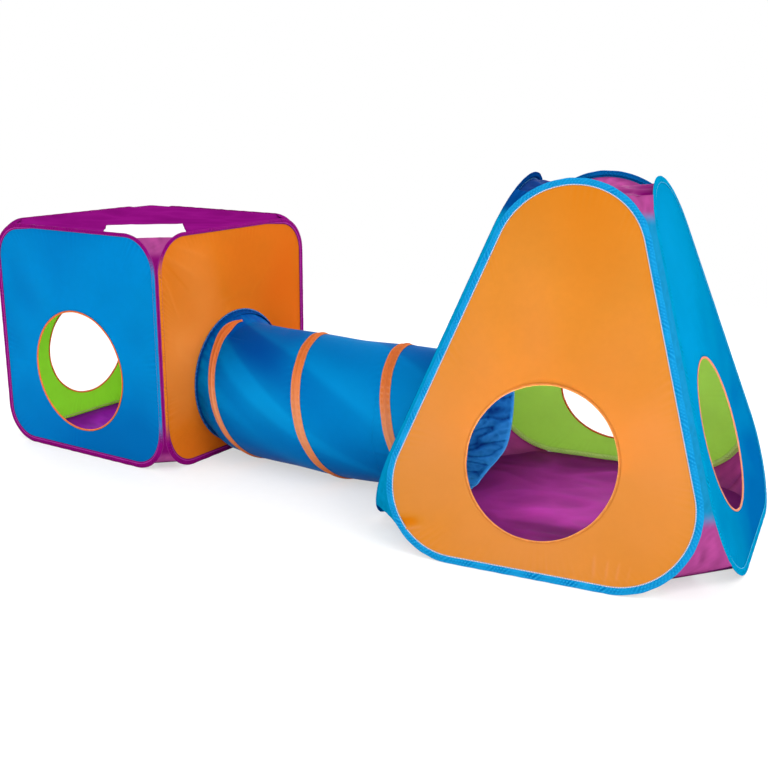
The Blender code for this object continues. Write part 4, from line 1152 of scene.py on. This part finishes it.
def add_cap(walls, shader):
    """Cap hung inside the tent's rounded tops, slack and rucked in its middle."""
    edge = []
    for key in ("port", "rear", "side", "front"):
        wall = walls[key]
        run = wall.top_run(TENT_CAP, CAP_STEPS)
        share = np.abs(np.linspace(-1.0, 1.0, CAP_STEPS))
        corner = ease((share - 0.93) / 0.07)[:, None]
        hem = wall.hem - 0.0012
        run = run + unit(run - wall.arcs[1][0]) * ((wall.reach + hem) * corner - hem)
        edge.append(wall.place(run, -(0.0034 + 0.0024 * corner[:, 0])))
    edge = np.concatenate(edge)
    middle = np.array([TENT_X, TENT_Y, edge[:, 2].max()])
    share = np.linspace(0.0, 0.985, CAP_ROWS)[:, None]
    points = between(edge[None], middle, share[..., None])
    x, y = points[..., 0], points[..., 1]
    slack = np.sin(math.pi * np.clip(share * 0.75, 0.0, 1.0)) ** 0.8
    ruck = creased(crumple(CAP_SEED, x, y, 0.09, stretch=1.6))
    around = np.linspace(0.0, 1.0, len(edge), endpoint=False)[None]
    bend = 1.6 * np.sin(FULL * around * 3 + 1.0)
    rays = np.sin(FULL * 26 * around + bend) * np.exp(-share / 0.4)
    fade = ease(share / 0.14)
    points[..., 2] += -0.014 * slack + (0.0040 * ruck + 0.0024 * rays) * fade

    def towards(first, second):
        """Distance from the tent's middle to the corner between two walls."""
        way = unit((walls[first].outward + walls[second].outward)[:2])
        return (x - TENT_X) * way[0] + (y - TENT_Y) * way[1]

    # Painted light and shade on the cap's rucks and rays, and painted shade towards the side–front
    # corner
    crease = (0.50 * ruck + 0.30 * rays) * fade - 0.8 * ease(towards("side", "front") / 0.14)
    # The cap's port–front corner takes the dark navy second colour as painted shade
    name = "tent_cap_cloth"
    mesh = grid_mesh(name, points, wrap_columns=True, crease=crease, seam=share * 0.15,
                     along=around * 1.3, second=ease((towards("port", "front") - 0.055) / 0.03))

    def close_rim(build):
        """Close the small hole inside the last ring."""
        build.verts.ensure_lookup_table()
        first = (CAP_ROWS - 1) * len(edge)
        build.faces.new([build.verts[first + column] for column in range(len(edge))])
        recalculate(build)

    change_mesh(mesh, close_rim)
    piece = stand_in(name, mesh, shader, "tent_cap")
    across = tent_axes()[0]
    wall_there = middle - across * (TENT_BASE / 2 * (1.0 - middle[2] / TENT_APEX))
    tent_squash(piece, wall_there)


# ---------------------------------------------------------------- tunnel

class Tunnel:
    """The tunnel's course: its axis, its radius and the coil that runs round it."""

    def __init__(self, cube_port, tent_port):
        self.port = tent_port
        self.port_height = cube_port.origin[2] + cube_port.centre[1]
        self.end_x, self.end_side = tent_port.place(tent_port.centre)[:2]
        self.ground_height = TUNNEL_RADIUS + TUNNEL_LAYERS

    def settle(self, x):
        """From 0 at the cube's port to 1 where the tunnel lies on the ground."""
        return ease((x - TUNNEL_START) / TUNNEL_DROP_LENGTH)

    def point(self, x, angle, out):
        """Point at a height over the cloth, its angle up from the near side."""
        share = np.clip((x - TUNNEL_START) / (self.end_x - TUNNEL_START), 0.0, 1.0)
        settle = self.settle(x)
        side = self.end_side * share - TUNNEL_BOW * np.sin(math.pi * share ** TUNNEL_BOW_SKEW)
        height = self.port_height + (self.ground_height - self.port_height) * settle
        radius = TUNNEL_PORT_RADIUS + (TUNNEL_RADIUS - TUNNEL_PORT_RADIUS) * settle + out
        return np.stack([x, side - radius * np.cos(angle), height + radius * np.sin(angle)], axis=-1)

    def coil_x(self, turn):
        """Where the coil is after so many turns from its first near crossing."""
        lean = COIL_LEAN * ease(turn - 1) * np.sin(FULL * turn)
        tip = COIL_TIP_BEND * np.minimum(turn, 0.0) ** 4
        return COIL_FIRST + COIL_PITCH * turn - COIL_PITCH_LOSS * turn * (turn - 1) + lean + tip

    def coil_turn(self, x):
        """The turn at which the coil reaches x, without its lean."""
        linear = COIL_PITCH + COIL_PITCH_LOSS
        root = math.sqrt(linear ** 2 - 4 * COIL_PITCH_LOSS * (x - COIL_FIRST))
        return (linear - root) / (2 * COIL_PITCH_LOSS)

    def from_coil(self, x, angle):
        """Distance along the tunnel to the nearest turn of the coil."""
        beyond = 0.30
        nearest = np.full(np.shape(x), beyond)
        for lap in range(4):
            turn = lap - np.asarray(angle) / FULL
            there = (turn > COIL_START) & (turn < COIL_END)
            distance = np.abs(x - self.coil_x(turn))
            nearest = np.minimum(nearest, np.where(there, distance, beyond))
        return nearest

    def cloth_end(self, angle):
        """Where the cloth stops short of the tent's leaning wall."""
        normal = self.port.outward
        plane = self.port.origin + normal * TENT_COLLAR_LENGTH
        x = np.full(np.shape(angle), self.end_x)
        for _ in range(8):
            point = self.point(x, angle, 0.0)
            x = x - ((point - plane) @ normal) / normal[0]
        return x


def diagonal_satin(x, angle):
    """Smooth lights that run slantwise over the tunnel, falling away from the cube."""
    draw = np.random.RandomState(SATIN_SEED)
    total = 0.0
    for laps in (1, 2, 3, 4, 5, 7, 9):
        slant = draw.uniform(1.5, 3.1)
        phase = laps * (angle + slant * x) + draw.uniform(-5.0, 5.0) * x
        total = total + np.sin(phase + draw.uniform(0, FULL)) / laps ** 0.3
    return total / 3.0


def near_side(angle, middle, size):
    """Share from 0 to 1 round an angle of the tunnel, the same on both sides of its seam."""
    apart = (angle - middle + math.pi) % FULL - math.pi
    return np.exp(-(apart / size) ** 2)


def tunnel_relief(tunnel, x, angle):
    """How far the tunnel's cloth stands out or sags, and its painted light and shade."""
    from_coil = tunnel.from_coil(x, angle)
    from_tape = from_coil - TAPE_WIDTH / 2
    settle = tunnel.settle(x)
    bay = np.sin(math.pi / 2 * np.clip(from_coil / (0.5 * COIL_PITCH), 0.0, 1.0))
    sag = TUNNEL_SAG * settle * bay ** 2
    wave = np.sin(angle * 3 + 5.0 * x) + np.sin(angle * 5 - 3.0 * x + 1.3) + np.sin(angle * 8 + 9 * x)
    long_folds = wave / 2.2 * bay ** 0.7
    jitter = 2.0 * np.sin(angle * 3) + 3.0 * np.sin(2 * angle + 20 * x)
    gathers = creased(np.sin(angle * 34 + jitter)) * np.exp(-np.maximum(from_tape, 0.0) / 0.016)
    ring = np.exp(-np.maximum(x - TUNNEL_START, 0.0) / 0.045)
    place = np.stack([0.6 * x, TUNNEL_RADIUS * np.cos(angle), TUNNEL_RADIUS * np.sin(angle)], axis=-1)
    large = creased(crumple_solid(CRINKLE_SEED, place, 0.060))
    small = creased(crumple_solid(CRINKLE_SEED + 1, place, 0.032))
    crinkle = (large + 0.7 * small) * ring
    held = ease((x - TUNNEL_START) / 0.012)
    satin = diagonal_satin(x, angle)
    facet = 2.0 * ease((satin + 0.10) / 0.30) - 1.0
    relief = 0.0012 * long_folds * settle + 0.0013 * crinkle * held + 0.0010 * satin * settle
    out = -sag + 0.0003 * gathers + relief * ease(from_tape / 0.015)
    first_bay = 1.0 - ease((x - 0.66) / 0.14)
    top = np.clip(np.sin(angle), 0.0, 1.0) ** 2
    bottom = np.clip(-np.sin(angle), 0.0, 1.0) ** 2
    # Painted light and shade on the folds, gathers and crinkles, painted shade by the cube's collar,
    # painted satin highlights, a painted highlight along the near side, and painted shade on the top and
    # bottom, darker in the first bay
    crease = 0.12 * long_folds * settle + 0.16 * gathers + (0.45 * crinkle - 0.42 * ring)
    crease = crease + (0.26 * facet + 0.14 * creased(satin)) * settle
    crease = crease + 0.42 * near_side(angle, 0.10, 0.42) * ease((x - 0.52) / 0.15)
    crease = crease - (0.25 + 0.65 * first_bay) * top - (0.50 + 0.35 * first_bay) * bottom
    return out, crease


def tunnel_pieces(name, mesh, material, node, thickness):
    """Piece of the tunnel cut in two: one part rides on the cube's port wall, one stays at the tent."""
    source = add_piece("tunnel", mesh, material)
    parts = []
    for ending, keep_low in (("", True), ("_end", False)):
        piece = cut_piece(source, name + ending, keep_low)
        if thickness:
            thicken(piece, thickness)
        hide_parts(node)
        if keep_low:
            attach(piece, "cube_port_wall")
            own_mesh(piece)
        else:
            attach(piece, "tent_port_wall")
        parts.append(piece)
    bpy.data.objects.remove(source)
    return parts


def add_tunnel_cloth(tunnel, shader):
    """The tunnel's cloth, from the cube's collar to the tent's."""
    angles = round_angles(TUNNEL_COLUMNS)
    end = tunnel.cloth_end(angles)
    x = TUNNEL_START + (end[None] - TUNNEL_START) * np.linspace(0.0, 1.0, TUNNEL_ROWS)[:, None]
    angle = angles[None] + np.zeros(x.shape)
    out, crease = tunnel_relief(tunnel, x, angle)
    mesh = grid_mesh("tunnel", tunnel.point(x, angle, out - CLOTH / 2), wrap_columns=True,
                     crease=crease, seam=tunnel.from_coil(x, angle), along=angle * TUNNEL_RADIUS)
    near, far = tunnel_pieces("tunnel_cloth", mesh, shader, "tunnel_fabric", CLOTH)


def add_tape(tunnel, turns, shader):
    """The tape sewn over the coiled wire, which narrows at its first end."""
    along = (turns * TUNNEL_GIRTH)[:, None]
    stops = np.array([-1.0, -0.93, -0.7, -0.45, -0.26, -0.12, 0.0, 0.12, 0.26, 0.45, 0.7, 0.93, 1.0])
    width = stops[None] * TAPE_WIDTH / 2
    height = 0.0008 + (2 * WIRE_RADIUS + 0.0010) * np.exp(-(width / 0.0032) ** 2)
    waver = 0.0007 * wander(TAPE_SEED, along, 0.10)
    pucker = np.sin(FULL * along / 0.012 + 1.8 * wander(TAPE_SEED + 1, along, 0.08))
    edge = np.sin(math.pi * np.clip((np.abs(stops) - 0.2) / 0.8, 0, 1))[None]
    relief = creased(pucker * 0.8) * edge * (0.6 + 0.4 * wander(TAPE_SEED + 2, along, 0.2))
    taper = 0.25 + 0.75 * ease((turns - BAND_START) / 0.06)[:, None]
    x = tunnel.coil_x(turns)[:, None] + width * taper + waver
    x = np.maximum(x, TUNNEL_START + 0.0035)
    angle = -FULL * turns[:, None] + np.zeros(x.shape)
    # Painted light and shade on the puckers, a painted highlight along the tape's near side and painted
    # shade round its top
    crease = relief * 0.5 + 0.95 * near_side(angle, -0.10, 0.55) - 0.35 * near_side(angle, 1.4, 0.5)
    mesh = grid_mesh("tape", tunnel.point(x, angle, height + 0.0004 * relief), crease=crease,
                     seam=(1 - np.abs(stops))[None] * TAPE_WIDTH / 2, along=along)
    near, far = tunnel_pieces("tunnel_band", mesh, shader, "tunnel_tape", TAPE_CLOTH)
    cut_turn = float(tunnel.coil_turn(TUNNEL_CUT))


def add_coil(tunnel, turns, steel):
    """The coiled wire."""
    turns = turns[turns > COIL_START][::2, None]
    sides = round_angles(8)[None]
    x = tunnel.coil_x(turns) + WIRE_RADIUS * np.cos(sides)
    angle = -FULL * turns + np.zeros(x.shape)
    out = WIRE_OUT + WIRE_RADIUS * np.sin(sides) + np.zeros(x.shape)
    mesh = grid_mesh("coil", tunnel.point(x, angle, out), wrap_columns=True)

    def close_ends(build):
        """Close the wire's two ends."""
        edges = [edge for edge in build.edges if edge.is_boundary]
        bmesh.ops.holes_fill(build, edges=edges, sides=0)
        recalculate(build)

    change_mesh(mesh, close_ends)
    tunnel_pieces("tunnel_coil", mesh, steel, "tunnel_wire", 0.0)


def add_cube_collar(wall, shader):
    """Collar that joins the tunnel to the cube's port: a crinkled flange and a short tube."""
    angles = round_angles(260)[None]
    # Distance over the opening's radius, distance from the wall and distance from the seam
    stops = np.array([
        (0.0145, 0.0006, 0.0), (0.011, 0.0012, 0.0035), (0.006, 0.0016, 0.0085),
        (0.002, 0.0024, 0.0125), (0.0002, 0.0050, 0.016), (-0.0002, 0.0090, 0.020),
        (-0.0003, 0.0150, 0.026), (-0.0003, 0.0220, 0.033),
    ])
    out, step, seam = stops.T[..., None]
    relief = creased(np.sin(angles * 40 + 2.0 * np.sin(angles * 5)))
    fade = np.clip(out / 0.004, 0.0, 1.0)
    radius = wall.radius + 0.0002 + out
    _, centre_y, height = wall.place(wall.centre)
    x = wall.origin[0] + 0.0021 + step + 0.0006 * relief * fade
    points = np.stack([x, centre_y - radius * np.cos(angles), height + radius * np.sin(angles)], axis=-1)
    # The crinkles get painted light on their ridges and painted shade in their hollows
    name = "cube_collar_cloth"
    mesh = grid_mesh(name, points, wrap_columns=True, crease=0.5 * relief * np.maximum(fade, 0.3),
                     seam=seam, along=angles * wall.radius)
    piece = stand_in(name, mesh, shader, "cube_port_collar", wall.body)


def add_tent_collar(wall, tunnel, shader):
    """Short crinkled collar from the tunnel's end to the tent's port."""
    angles = round_angles(TUNNEL_COLUMNS)
    end = tunnel.cloth_end(angles)
    first = tunnel.point(end, angles, tunnel_relief(tunnel, end, angles)[0] - CLOTH / 2)
    last = wall.opening_point(angles, wall.radius + 0.0008, 0.0022)
    share = np.linspace(0.0, 1.0, 16)[:, None]
    points = between(first[None], last[None], share[..., None])
    folds = creased(np.sin(angles * 26 + 2.0 * np.sin(angles * 3)))[None] * np.sin(math.pi * share)
    out = unit(points - points.mean(axis=1, keepdims=True))
    # The folds get painted light on their ridges and painted shade in their hollows
    name = "tent_collar_cloth"
    mesh = grid_mesh(name, points + out * (0.0012 * folds)[..., None], wrap_columns=True,
                     crease=0.5 * folds, seam=share * 0.04, along=(angles * wall.radius)[None])
    piece = stand_in(name, mesh, shader, "tent_port_collar", wall.body)


def tilted(points, turn):
    """Points turned round their first axis."""
    cosine, sine = math.cos(turn), math.sin(turn)
    return points @ np.array([[1.0, 0.0, 0.0], [0.0, cosine, sine], [0.0, -sine, cosine]])


def add_gather(wall, shader):
    """Gathered cuff inside the tent, crinkled towards its elastic rim."""
    angles = round_angles(CUFF_COLUMNS)[None]
    share = np.linspace(0.0, 1.0, CUFF_ROWS)[:, None]
    none = np.zeros((CUFF_ROWS, CUFF_COLUMNS))
    plain = np.stack([wall.radius * np.cos(angles) + none, wall.radius * np.sin(angles) + none,
                      GATHER_DEPTH * share + none], axis=-1)
    pleat = crumple_solid(CUFF_SEED, tilted(plain, 0.7) * (1.0, 1.0, 0.45), 0.060)
    cross = crumple_solid(CUFF_SEED + 1, tilted(plain, -0.5) * (0.7, 0.7, 1.2), 0.062)
    fine = creased(crumple_solid(CUFF_SEED + 2, plain, 0.022))
    valleys = np.maximum(creased(pleat), 0.0) ** 2.2 + 0.45 * np.maximum(creased(cross), 0.0) ** 2.6
    held = ease(share / 0.12)
    hem = ease((share - 0.93) / 0.04)
    relief = (0.0020 * pleat - 0.0036 * valleys * (1 - hem) + 0.0009 * fine) * held
    radius = wall.radius + 0.0008 + GATHER_FLARE * share + relief * (0.5 + 0.6 * share)
    inward = -unit(wall.outward * (1.0, 1.0, 0.0))
    up = between(wall.up, np.array([0.0, 0.0, 1.0]), share[..., None])
    short = 1.0 - 0.28 * ease((-np.sin(angles) - 0.55) / 0.45) ** 1.5
    run = GATHER_DEPTH * share * short + 0.002 * cross * held * (1 - hem)
    centre = wall.place(wall.centre, -0.0024) + inward * run[..., None]
    around = wall.right * np.cos(angles)[..., None] + up * np.sin(angles)[..., None]
    # Painted light over the whole cuff and more at its elastic rim, painted light and shade on its
    # pleats, deeper painted shade in its valleys, and painted shade over its top with painted light
    # below
    crease = 0.30 + (0.35 * pleat - 1.25 * valleys * (1 - hem) + 0.25 * fine) * held + 0.7 * hem
    name = "tent_gather_cloth"
    mesh = grid_mesh(name, centre + around * radius[..., None], wrap_columns=True,
                     crease=crease - 0.30 * np.sin(angles) * held, seam=(1 - share) * 0.14,
                     along=angles * wall.radius)
    piece = stand_in(name, mesh, shader, "tent_port_gather")
    tent_squash(piece, wall.place(wall.centre))


# ---------------------------------------------------------------- studio

WHITE = (1.0, 1.0, 1.0, 1.0)
STUDIO_MIDDLE = (0.8, 0.0, 0.0)

# Place, target, size and power
LAMPS = {
    "key": ((2.9, -3.9, 2.9), (0.7, 0.0, 0.4), 2.6, 60.0),
    "side": ((4.6, -1.5, 3.3), (0.3, 0.0, 0.4), 2.4, 115.0),
    "fill": ((-1.8, -3.4, 2.2), (0.5, 0.0, 0.4), 2.4, 30.0),
    "back": ((1.6, 3.6, 2.2), (1.2, 0.0, 0.5), 2.6, 150.0),
    "left": ((-3.4, 1.2, 2.0), (0.0, 0.0, 0.4), 2.4, 110.0),
    "tent_inside": ((1.66, -0.26, 0.16), (1.54, 0.30, 0.75), 0.30, 5.5),
    "cube_inside": ((0.18, -0.22, 0.12), (-0.30, 0.15, 0.38), 0.28, 2.2),
}


def add_floor_plane():
    """Pale studio floor that fades to white away from the set."""
    material, s = new_material("studio_floor")
    place = s.place()
    fine = s.noise(place, 30.0, 3.0)
    tone = s.mix(s.ramp(fine, 0.35, 0.65), (0.90, 0.90, 0.90, 1.0), (0.92, 0.92, 0.92, 1.0))
    mat = s.node("ShaderNodeBsdfDiffuse", Color=tone)
    glow = s.node("ShaderNodeEmission", Color=WHITE, Strength=1.0)
    away = s.node("ShaderNodeVectorMath", {"operation": "DISTANCE"})
    s.feed(away.inputs[0], place)
    s.feed(away.inputs[1], STUDIO_MIDDLE)
    far = s.ramp(away.outputs["Value"], 1.5, 3.6, 0.55, 1.0)
    ray = s.node("ShaderNodeLightPath")
    seen = s.math("ADD", ray.outputs["Is Camera Ray"], ray.outputs["Is Glossy Ray"], clamp=True)
    seen = s.math("ADD", seen, ray.outputs["Is Transmission Ray"], clamp=True)
    s.finish(s.both(s.math("MULTIPLY", far, seen), mat, glow))
    line = np.linspace(-9.0, 9.0, 19)
    x, y = np.meshgrid(line, line)
    points = np.stack([x + STUDIO_MIDDLE[0], y, np.full(x.shape, -0.0004)], axis=-1)
    add_piece("studio_floor", grid_mesh("studio_floor", points), material)


def add_world():
    """Soft light from all round, and pure white where the camera sees it."""
    world = bpy.data.worlds.new("studio")
    bpy.context.scene.world = world
    world.use_nodes = True
    s = Nodes(world.node_tree)
    soft = s.node("ShaderNodeBackground", Color=WHITE, Strength=0.92)
    white = s.node("ShaderNodeBackground", Color=WHITE, Strength=1.0)
    path = s.node("ShaderNodeLightPath")
    s.finish(s.both(path.outputs["Is Camera Ray"], soft, white), "ShaderNodeOutputWorld")


def add_lamp(name, place, target, size, power):
    """Square area lamp aimed at a point."""
    data = bpy.data.lights.new(name, "AREA")
    data.shape = "SQUARE"
    data.size = size
    data.energy = power
    lamp = bpy.data.objects.new(name, data)
    lamp.visible_camera = False
    bpy.context.scene.collection.objects.link(lamp)
    aim = Vector(target) - Vector(place)
    lamp.matrix_world = Matrix.Translation(place) @ aim.to_track_quat("-Z", "Y").to_matrix().to_4x4()


def camera_matrix():
    """Camera's place and turn in the photograph."""
    yaw, pitch, roll = CAMERA_YAW, CAMERA_PITCH, CAMERA_ROLL
    forward = np.array([-math.sin(yaw) * math.cos(pitch), math.cos(yaw) * math.cos(pitch),
                        math.sin(pitch)])
    right = np.array([math.cos(yaw), math.sin(yaw), 0.0])
    up = np.cross(right, forward)
    turned = math.cos(roll) * right + math.sin(roll) * up
    raised = -math.sin(roll) * right + math.cos(roll) * up
    matrix = Matrix([list(row) for row in np.stack([turned, raised, -forward], axis=1)]).to_4x4()
    matrix.translation = CAMERA_PLACE
    return matrix


def add_studio():
    """Floor, light all round, soft lamps and the photograph's camera."""
    add_floor_plane()
    add_world()
    for name, row in LAMPS.items():
        add_lamp(name, *row)
    scene = bpy.context.scene
    scene.view_settings.view_transform = "Standard"
    data = bpy.data.cameras.new("photograph")
    data.sensor_width = SENSOR
    data.lens = CAMERA_FOCAL_PIXELS / PHOTO_PIXELS * SENSOR
    data.clip_end = 60.0
    camera = bpy.data.objects.new("photograph", data)
    scene.collection.objects.link(camera)
    camera.matrix_world = camera_matrix()
    scene.camera = camera


# ---------------------------------------------------------------- the set

def dress_steel(steel):
    """Steel finish for the wires and ferrules that stay."""
    for name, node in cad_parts.items():
        if name.endswith("_wire") or name.endswith("_ferrule"):
            for index in range(len(node.material_slots)):
                node.material_slots[index].material = steel


def shaded(colour, factor):
    """Colour made lighter or darker."""
    return tuple(part * factor for part in colour)


def dress_cube(cube):
    """The cube's walls, corner webs, roof, netting and ground sheet."""
    orange = {"thread": THREAD_ORANGE, "through": 0.42, "light": PORT_LIGHT, "dark": PORT_DARK}
    blue = {"thread": THREAD_BLUE, "through": 0.42, "dark": FRONT_DARK}
    # Colour, slot, look, side whose hem is panel-coloured, lining's shade (the panel's colour made
    # lighter or darker where it shows on the sleeve), folds and painted light areas
    looks = {
        "port": (CUBE_ORANGE, "orange_cloth", orange, -1, 1.0, CUBE_PORT_FOLDS, CUBE_PORT_PAINTED_LIGHT_AREAS),
        "front": (CUBE_BLUE, "blue_cloth", blue, 1, 0.88, (), CUBE_FRONT_PAINTED_LIGHT_AREAS),
        "rear": (HIDDEN_BLUE, "blue_cloth", {"thread": THREAD_BLUE, "through": 0.55}, 0, 1.0, (), ()),
        "far": (CUBE_GREEN, "green_cloth", {"through": 0.60}, 0, 1.0, (), ()),
    }
    web = cloth("web_cloth", WEB_MAGENTA, THREAD_PURPLE, up=1.35, down=0.62, through=0.45,
                second=MAGENTA)
    trim = cloth("orange_binding_cloth", TRIM_ORANGE, THREAD_ORANGE, stitch_at=TRIM_STITCH)
    for index, (key, (colour, slot, look, side, shade, folds, painted_areas)) in enumerate(looks.items()):
        wall = cube[key]
        panel = cloth(wall.name + "_cloth", colour, **look)
        add_panel(wall, panel, CUBE_SEEDS["panel"] + PANEL_SEED_STEP * index, folds, painted_areas)
        tape = cloth(wall.name + "_tape", MAGENTA, THREAD_PURPLE, up=1.5, down=0.6,
                     second=shaded(colour, shade))
        add_sleeve(wall, tape, CUBE_SEEDS["sleeve"] + index, CUBE_PUCKERS,
                   edge_side=side, lining=side == 0)
        add_trim(wall, trim, CUBE_SEEDS["trim"] + index)
    dark_web = cloth("cube_corner_cloth", ROOF_MAGENTA, up=1.35, down=0.62, shine=0.0)
    # Walls, cut of the ground sheet, top angle, cloth, whether it is the open corner, narrow part
    corners = {
        "near": ("front", "port", CUBE_NEAR_CUT, CUBE_NEAR_WEB_TOP, web, False, 0.045),
        "right": ("port", "rear", CUBE_FLOOR_CUT, CUBE_WEB_TOP, dark_web, False, 0.0),
        "back": ("rear", "far", CUBE_FLOOR_CUT, CUBE_BACK_WEB_TOP, dark_web, True, 0.0),
        "left": ("far", "front", CUBE_LEFT_CUT, CUBE_WEB_TOP, dark_web, False, 0.0),
    }
    for index, (key, (left, right, cut, top, shader, parted, narrow)) in enumerate(corners.items()):
        walls = cube[left], cube[right]
        foot = foot_ends(*walls, (0.0, 0.0), CUBE_FLOOR_HALF - cut / 2, CUBE_FOOT_SPREAD)
        add_web(key, walls, shader, (CUBE_WEB_BOTTOM, top), CUBE_SEEDS["web"] + index, foot,
                parted, narrow)
    add_roof(cloth("roof_cloth", ROOF_MAGENTA, THREAD_PURPLE, up=1.3, down=0.7, shine=0.0))
    add_net(net_shader())
    sheet = cloth("cube_floor_shade", CUBE_FLOOR_PURPLE, up=1.5, down=0.6, through=0.1)
    cuts = (CUBE_LEFT_CUT, CUBE_NEAR_CUT, CUBE_FLOOR_CUT, CUBE_FLOOR_CUT)
    add_floor("cube", CUBE_FLOOR_HALF, cuts, Matrix.Identity(4), sheet, cube_squash,
              CUBE_SEEDS["floor"], 0.006)


def dress_tent(tent):
    """The tent's walls, corner webs, ground sheet and cap."""
    orange = {"thread": THREAD_ORANGE, "through": 0.42, "light": TENT_FRONT_LIGHT,
              "dark": TENT_FRONT_DARK}
    blue = {"thread": THREAD_BLUE, "through": 0.42, "dark": SIDE_DARK, "shine": 0.0}
    wide_stitch = {"thread": THREAD_PINK, "light": SLEEVE_LIGHT, "dark": SLEEVE_DARK,
                   "stitch_at": 0.0013, "stitch_half": 0.0012}
    blue_stitch = {"thread": THREAD_BLUE}
    # Colour, slot and look of the panel; the same of the sleeve; lining's shade, above 1 as painted
    # light on a lining that lies in shade; binding's colour
    looks = {
        # The port's sleeve is dark navy as painted shade on light blue sleeve cloth
        "port": (HIDDEN_BLUE, "blue_cloth", {"through": 0.42},
                 COLLAR_BLUE, "purple_cloth", blue_stitch, 1.0, TRIM_ORANGE),
        "front": (TENT_ORANGE, "orange_cloth", orange,
                  SLEEVE_BLUE, "light_blue_cloth", wide_stitch, 1.0, TRIM_WALL),
        # The rear's sleeve is dark blue as painted shade on light blue sleeve cloth, and its green
        # lining is made lighter as painted light
        "rear": (TENT_GREEN, "green_cloth", {"through": 0.60},
                 HIDDEN_BLUE, "blue_cloth", {}, 1.35, TRIM_RED),
        "side": (TENT_BLUE, "blue_cloth", blue,
                 TENT_BLUE, "blue_cloth", blue_stitch, 1.0, TRIM_PALE),
    }
    folds = {"front": TENT_FRONT_FOLDS}
    painted_areas = {"front": TENT_FRONT_PAINTED_LIGHT_AREAS, "side": TENT_SIDE_PAINTED_LIGHT_AREAS}
    for index, (key, row) in enumerate(looks.items()):
        colour, slot, look, tape_colour, tape_slot, tape_look, shade, binding = row
        wall = tent[key]
        panel = cloth(wall.name + "_cloth", colour, **look)
        add_panel(wall, panel, TENT_SEEDS["panel"] + PANEL_SEED_STEP * index,
                  folds.get(key, ()), painted_areas.get(key, ()))
        tape = cloth(wall.name + "_tape", tape_colour, up=1.6, down=0.6, shine=0.0,
                     second=shaded(colour, shade), **tape_look)
        add_sleeve(wall, tape, TENT_SEEDS["sleeve"] + index, TENT_PUCKERS,
                   lining=key != "front", plain_foot=1 if key == "port" else 0)
        trim = cloth(wall.name + "_binding", binding, THREAD_ORANGE, stitch_at=TRIM_STITCH)
        add_trim(wall, trim, TENT_SEEDS["trim"] + index)
    web = cloth("tent_web_cloth", WEB_MAGENTA, up=1.4, down=0.55, through=0.45, shine=0.0,
                second=TENT_BLUE)
    # The left web is the tent's blue, but dark navy at its top as painted shade at the top of the
    # port–front corner
    left_web = cloth("tent_left_web_cloth", COLLAR_BLUE, up=1.6, down=0.6, shine=0.0,
                     second=TENT_BLUE)
    near = (TENT_NEAR_CUT, TENT_NEAR_SPREAD, TENT_NEAR_WEB_BOTTOM)
    hidden = (TENT_HIDDEN_WEB_CUT, TENT_HIDDEN_SPREAD, TENT_HIDDEN_WEB_BOTTOM)
    # Walls, foot, cloth, whether it is the open corner, narrow part
    corners = {
        "left": ("port", "front", near, left_web, False, 1.0),
        "near": ("front", "side", near, web, False, 0.042),
        "right": ("side", "rear", hidden, web, True, 0.055),
        "back": ("rear", "port", hidden, web, False, 0.055),
    }
    for index, (key, (left, right, ground, shader, parted, narrow)) in enumerate(corners.items()):
        cut, spread, bottom = ground
        walls = tent[left], tent[right]
        foot = foot_ends(*walls, (TENT_X, TENT_Y), TENT_BASE / 2 - cut / 2, spread)
        add_web(key, walls, shader, (bottom, TENT_WEB_TOP), TENT_SEEDS["web"] + index, foot,
                parted, narrow)
    middle = np.array([TENT_X, TENT_Y, 0.0])
    place = Matrix.Translation(middle) @ Matrix.Rotation(math.radians(TENT_TURN), 4, "Z")
    across = tent_axes()[0]
    anchor = middle - across * (TENT_BASE / 2 - TENT_FOLD_INSET)
    sheet = cloth("tent_floor_shade", TENT_FLOOR_PURPLE, up=1.45, down=0.6, through=0.1)
    cuts = (TENT_NEAR_CUT, TENT_NEAR_CUT, TENT_FLOOR_CUT, TENT_FLOOR_CUT)
    add_floor("tent", TENT_FLOOR_HALF, cuts, place, sheet,
              lambda piece: tent_squash(piece, anchor), TENT_SEEDS["floor"], 0.009)
    add_cap(tent, cloth("tent_cap_shade", WEB_MAGENTA, up=1.4, dark=MAGENTA, through=0.45,
                        second=COLLAR_BLUE))


def dress_tunnel(cube_port, tent_port, steel):
    """The tunnel's cloth, tape and coil, its collars and the cuff inside the tent."""
    tunnel = Tunnel(cube_port, tent_port)
    blue = cloth("tunnel_blue_cloth", TUNNEL_BLUE, light=TUNNEL_LIGHT, dark=TUNNEL_DARK,
                 roughness=0.36)
    collar = cloth("collar_cloth", COLLAR_BLUE, THREAD_BLUE, up=1.9, down=0.6)
    band = cloth("band_cloth", BAND_ORANGE, THREAD_ORANGE, stitch_at=0.0022, light=BAND_LIGHT,
                 dark=BAND_DARK)
    gather = cloth("gather_cloth", GATHER_BLUE, THREAD_BLUE, through=0.4, light=GATHER_LIGHT,
                   dark=GATHER_DARK)
    add_tunnel_cloth(tunnel, blue)
    count = round((COIL_END - COIL_START) * TUNNEL_GIRTH / 0.0045)
    turns = np.linspace(BAND_START, COIL_END, count)
    add_tape(tunnel, turns, band)
    add_coil(tunnel, turns, steel)
    add_cube_collar(cube_port, collar)
    add_tent_collar(tent_port, tunnel, blue)
    add_gather(tent_port, gather)


def main():
    """Build the studio and dress the whole set."""
    add_studio()
    steel = steel_shader()
    cube, tent = cube_walls(), tent_walls()
    dress_cube(cube)
    dress_tent(tent)
    dress_tunnel(cube["port"], tent["port"], steel)
    dress_steel(steel)


main()
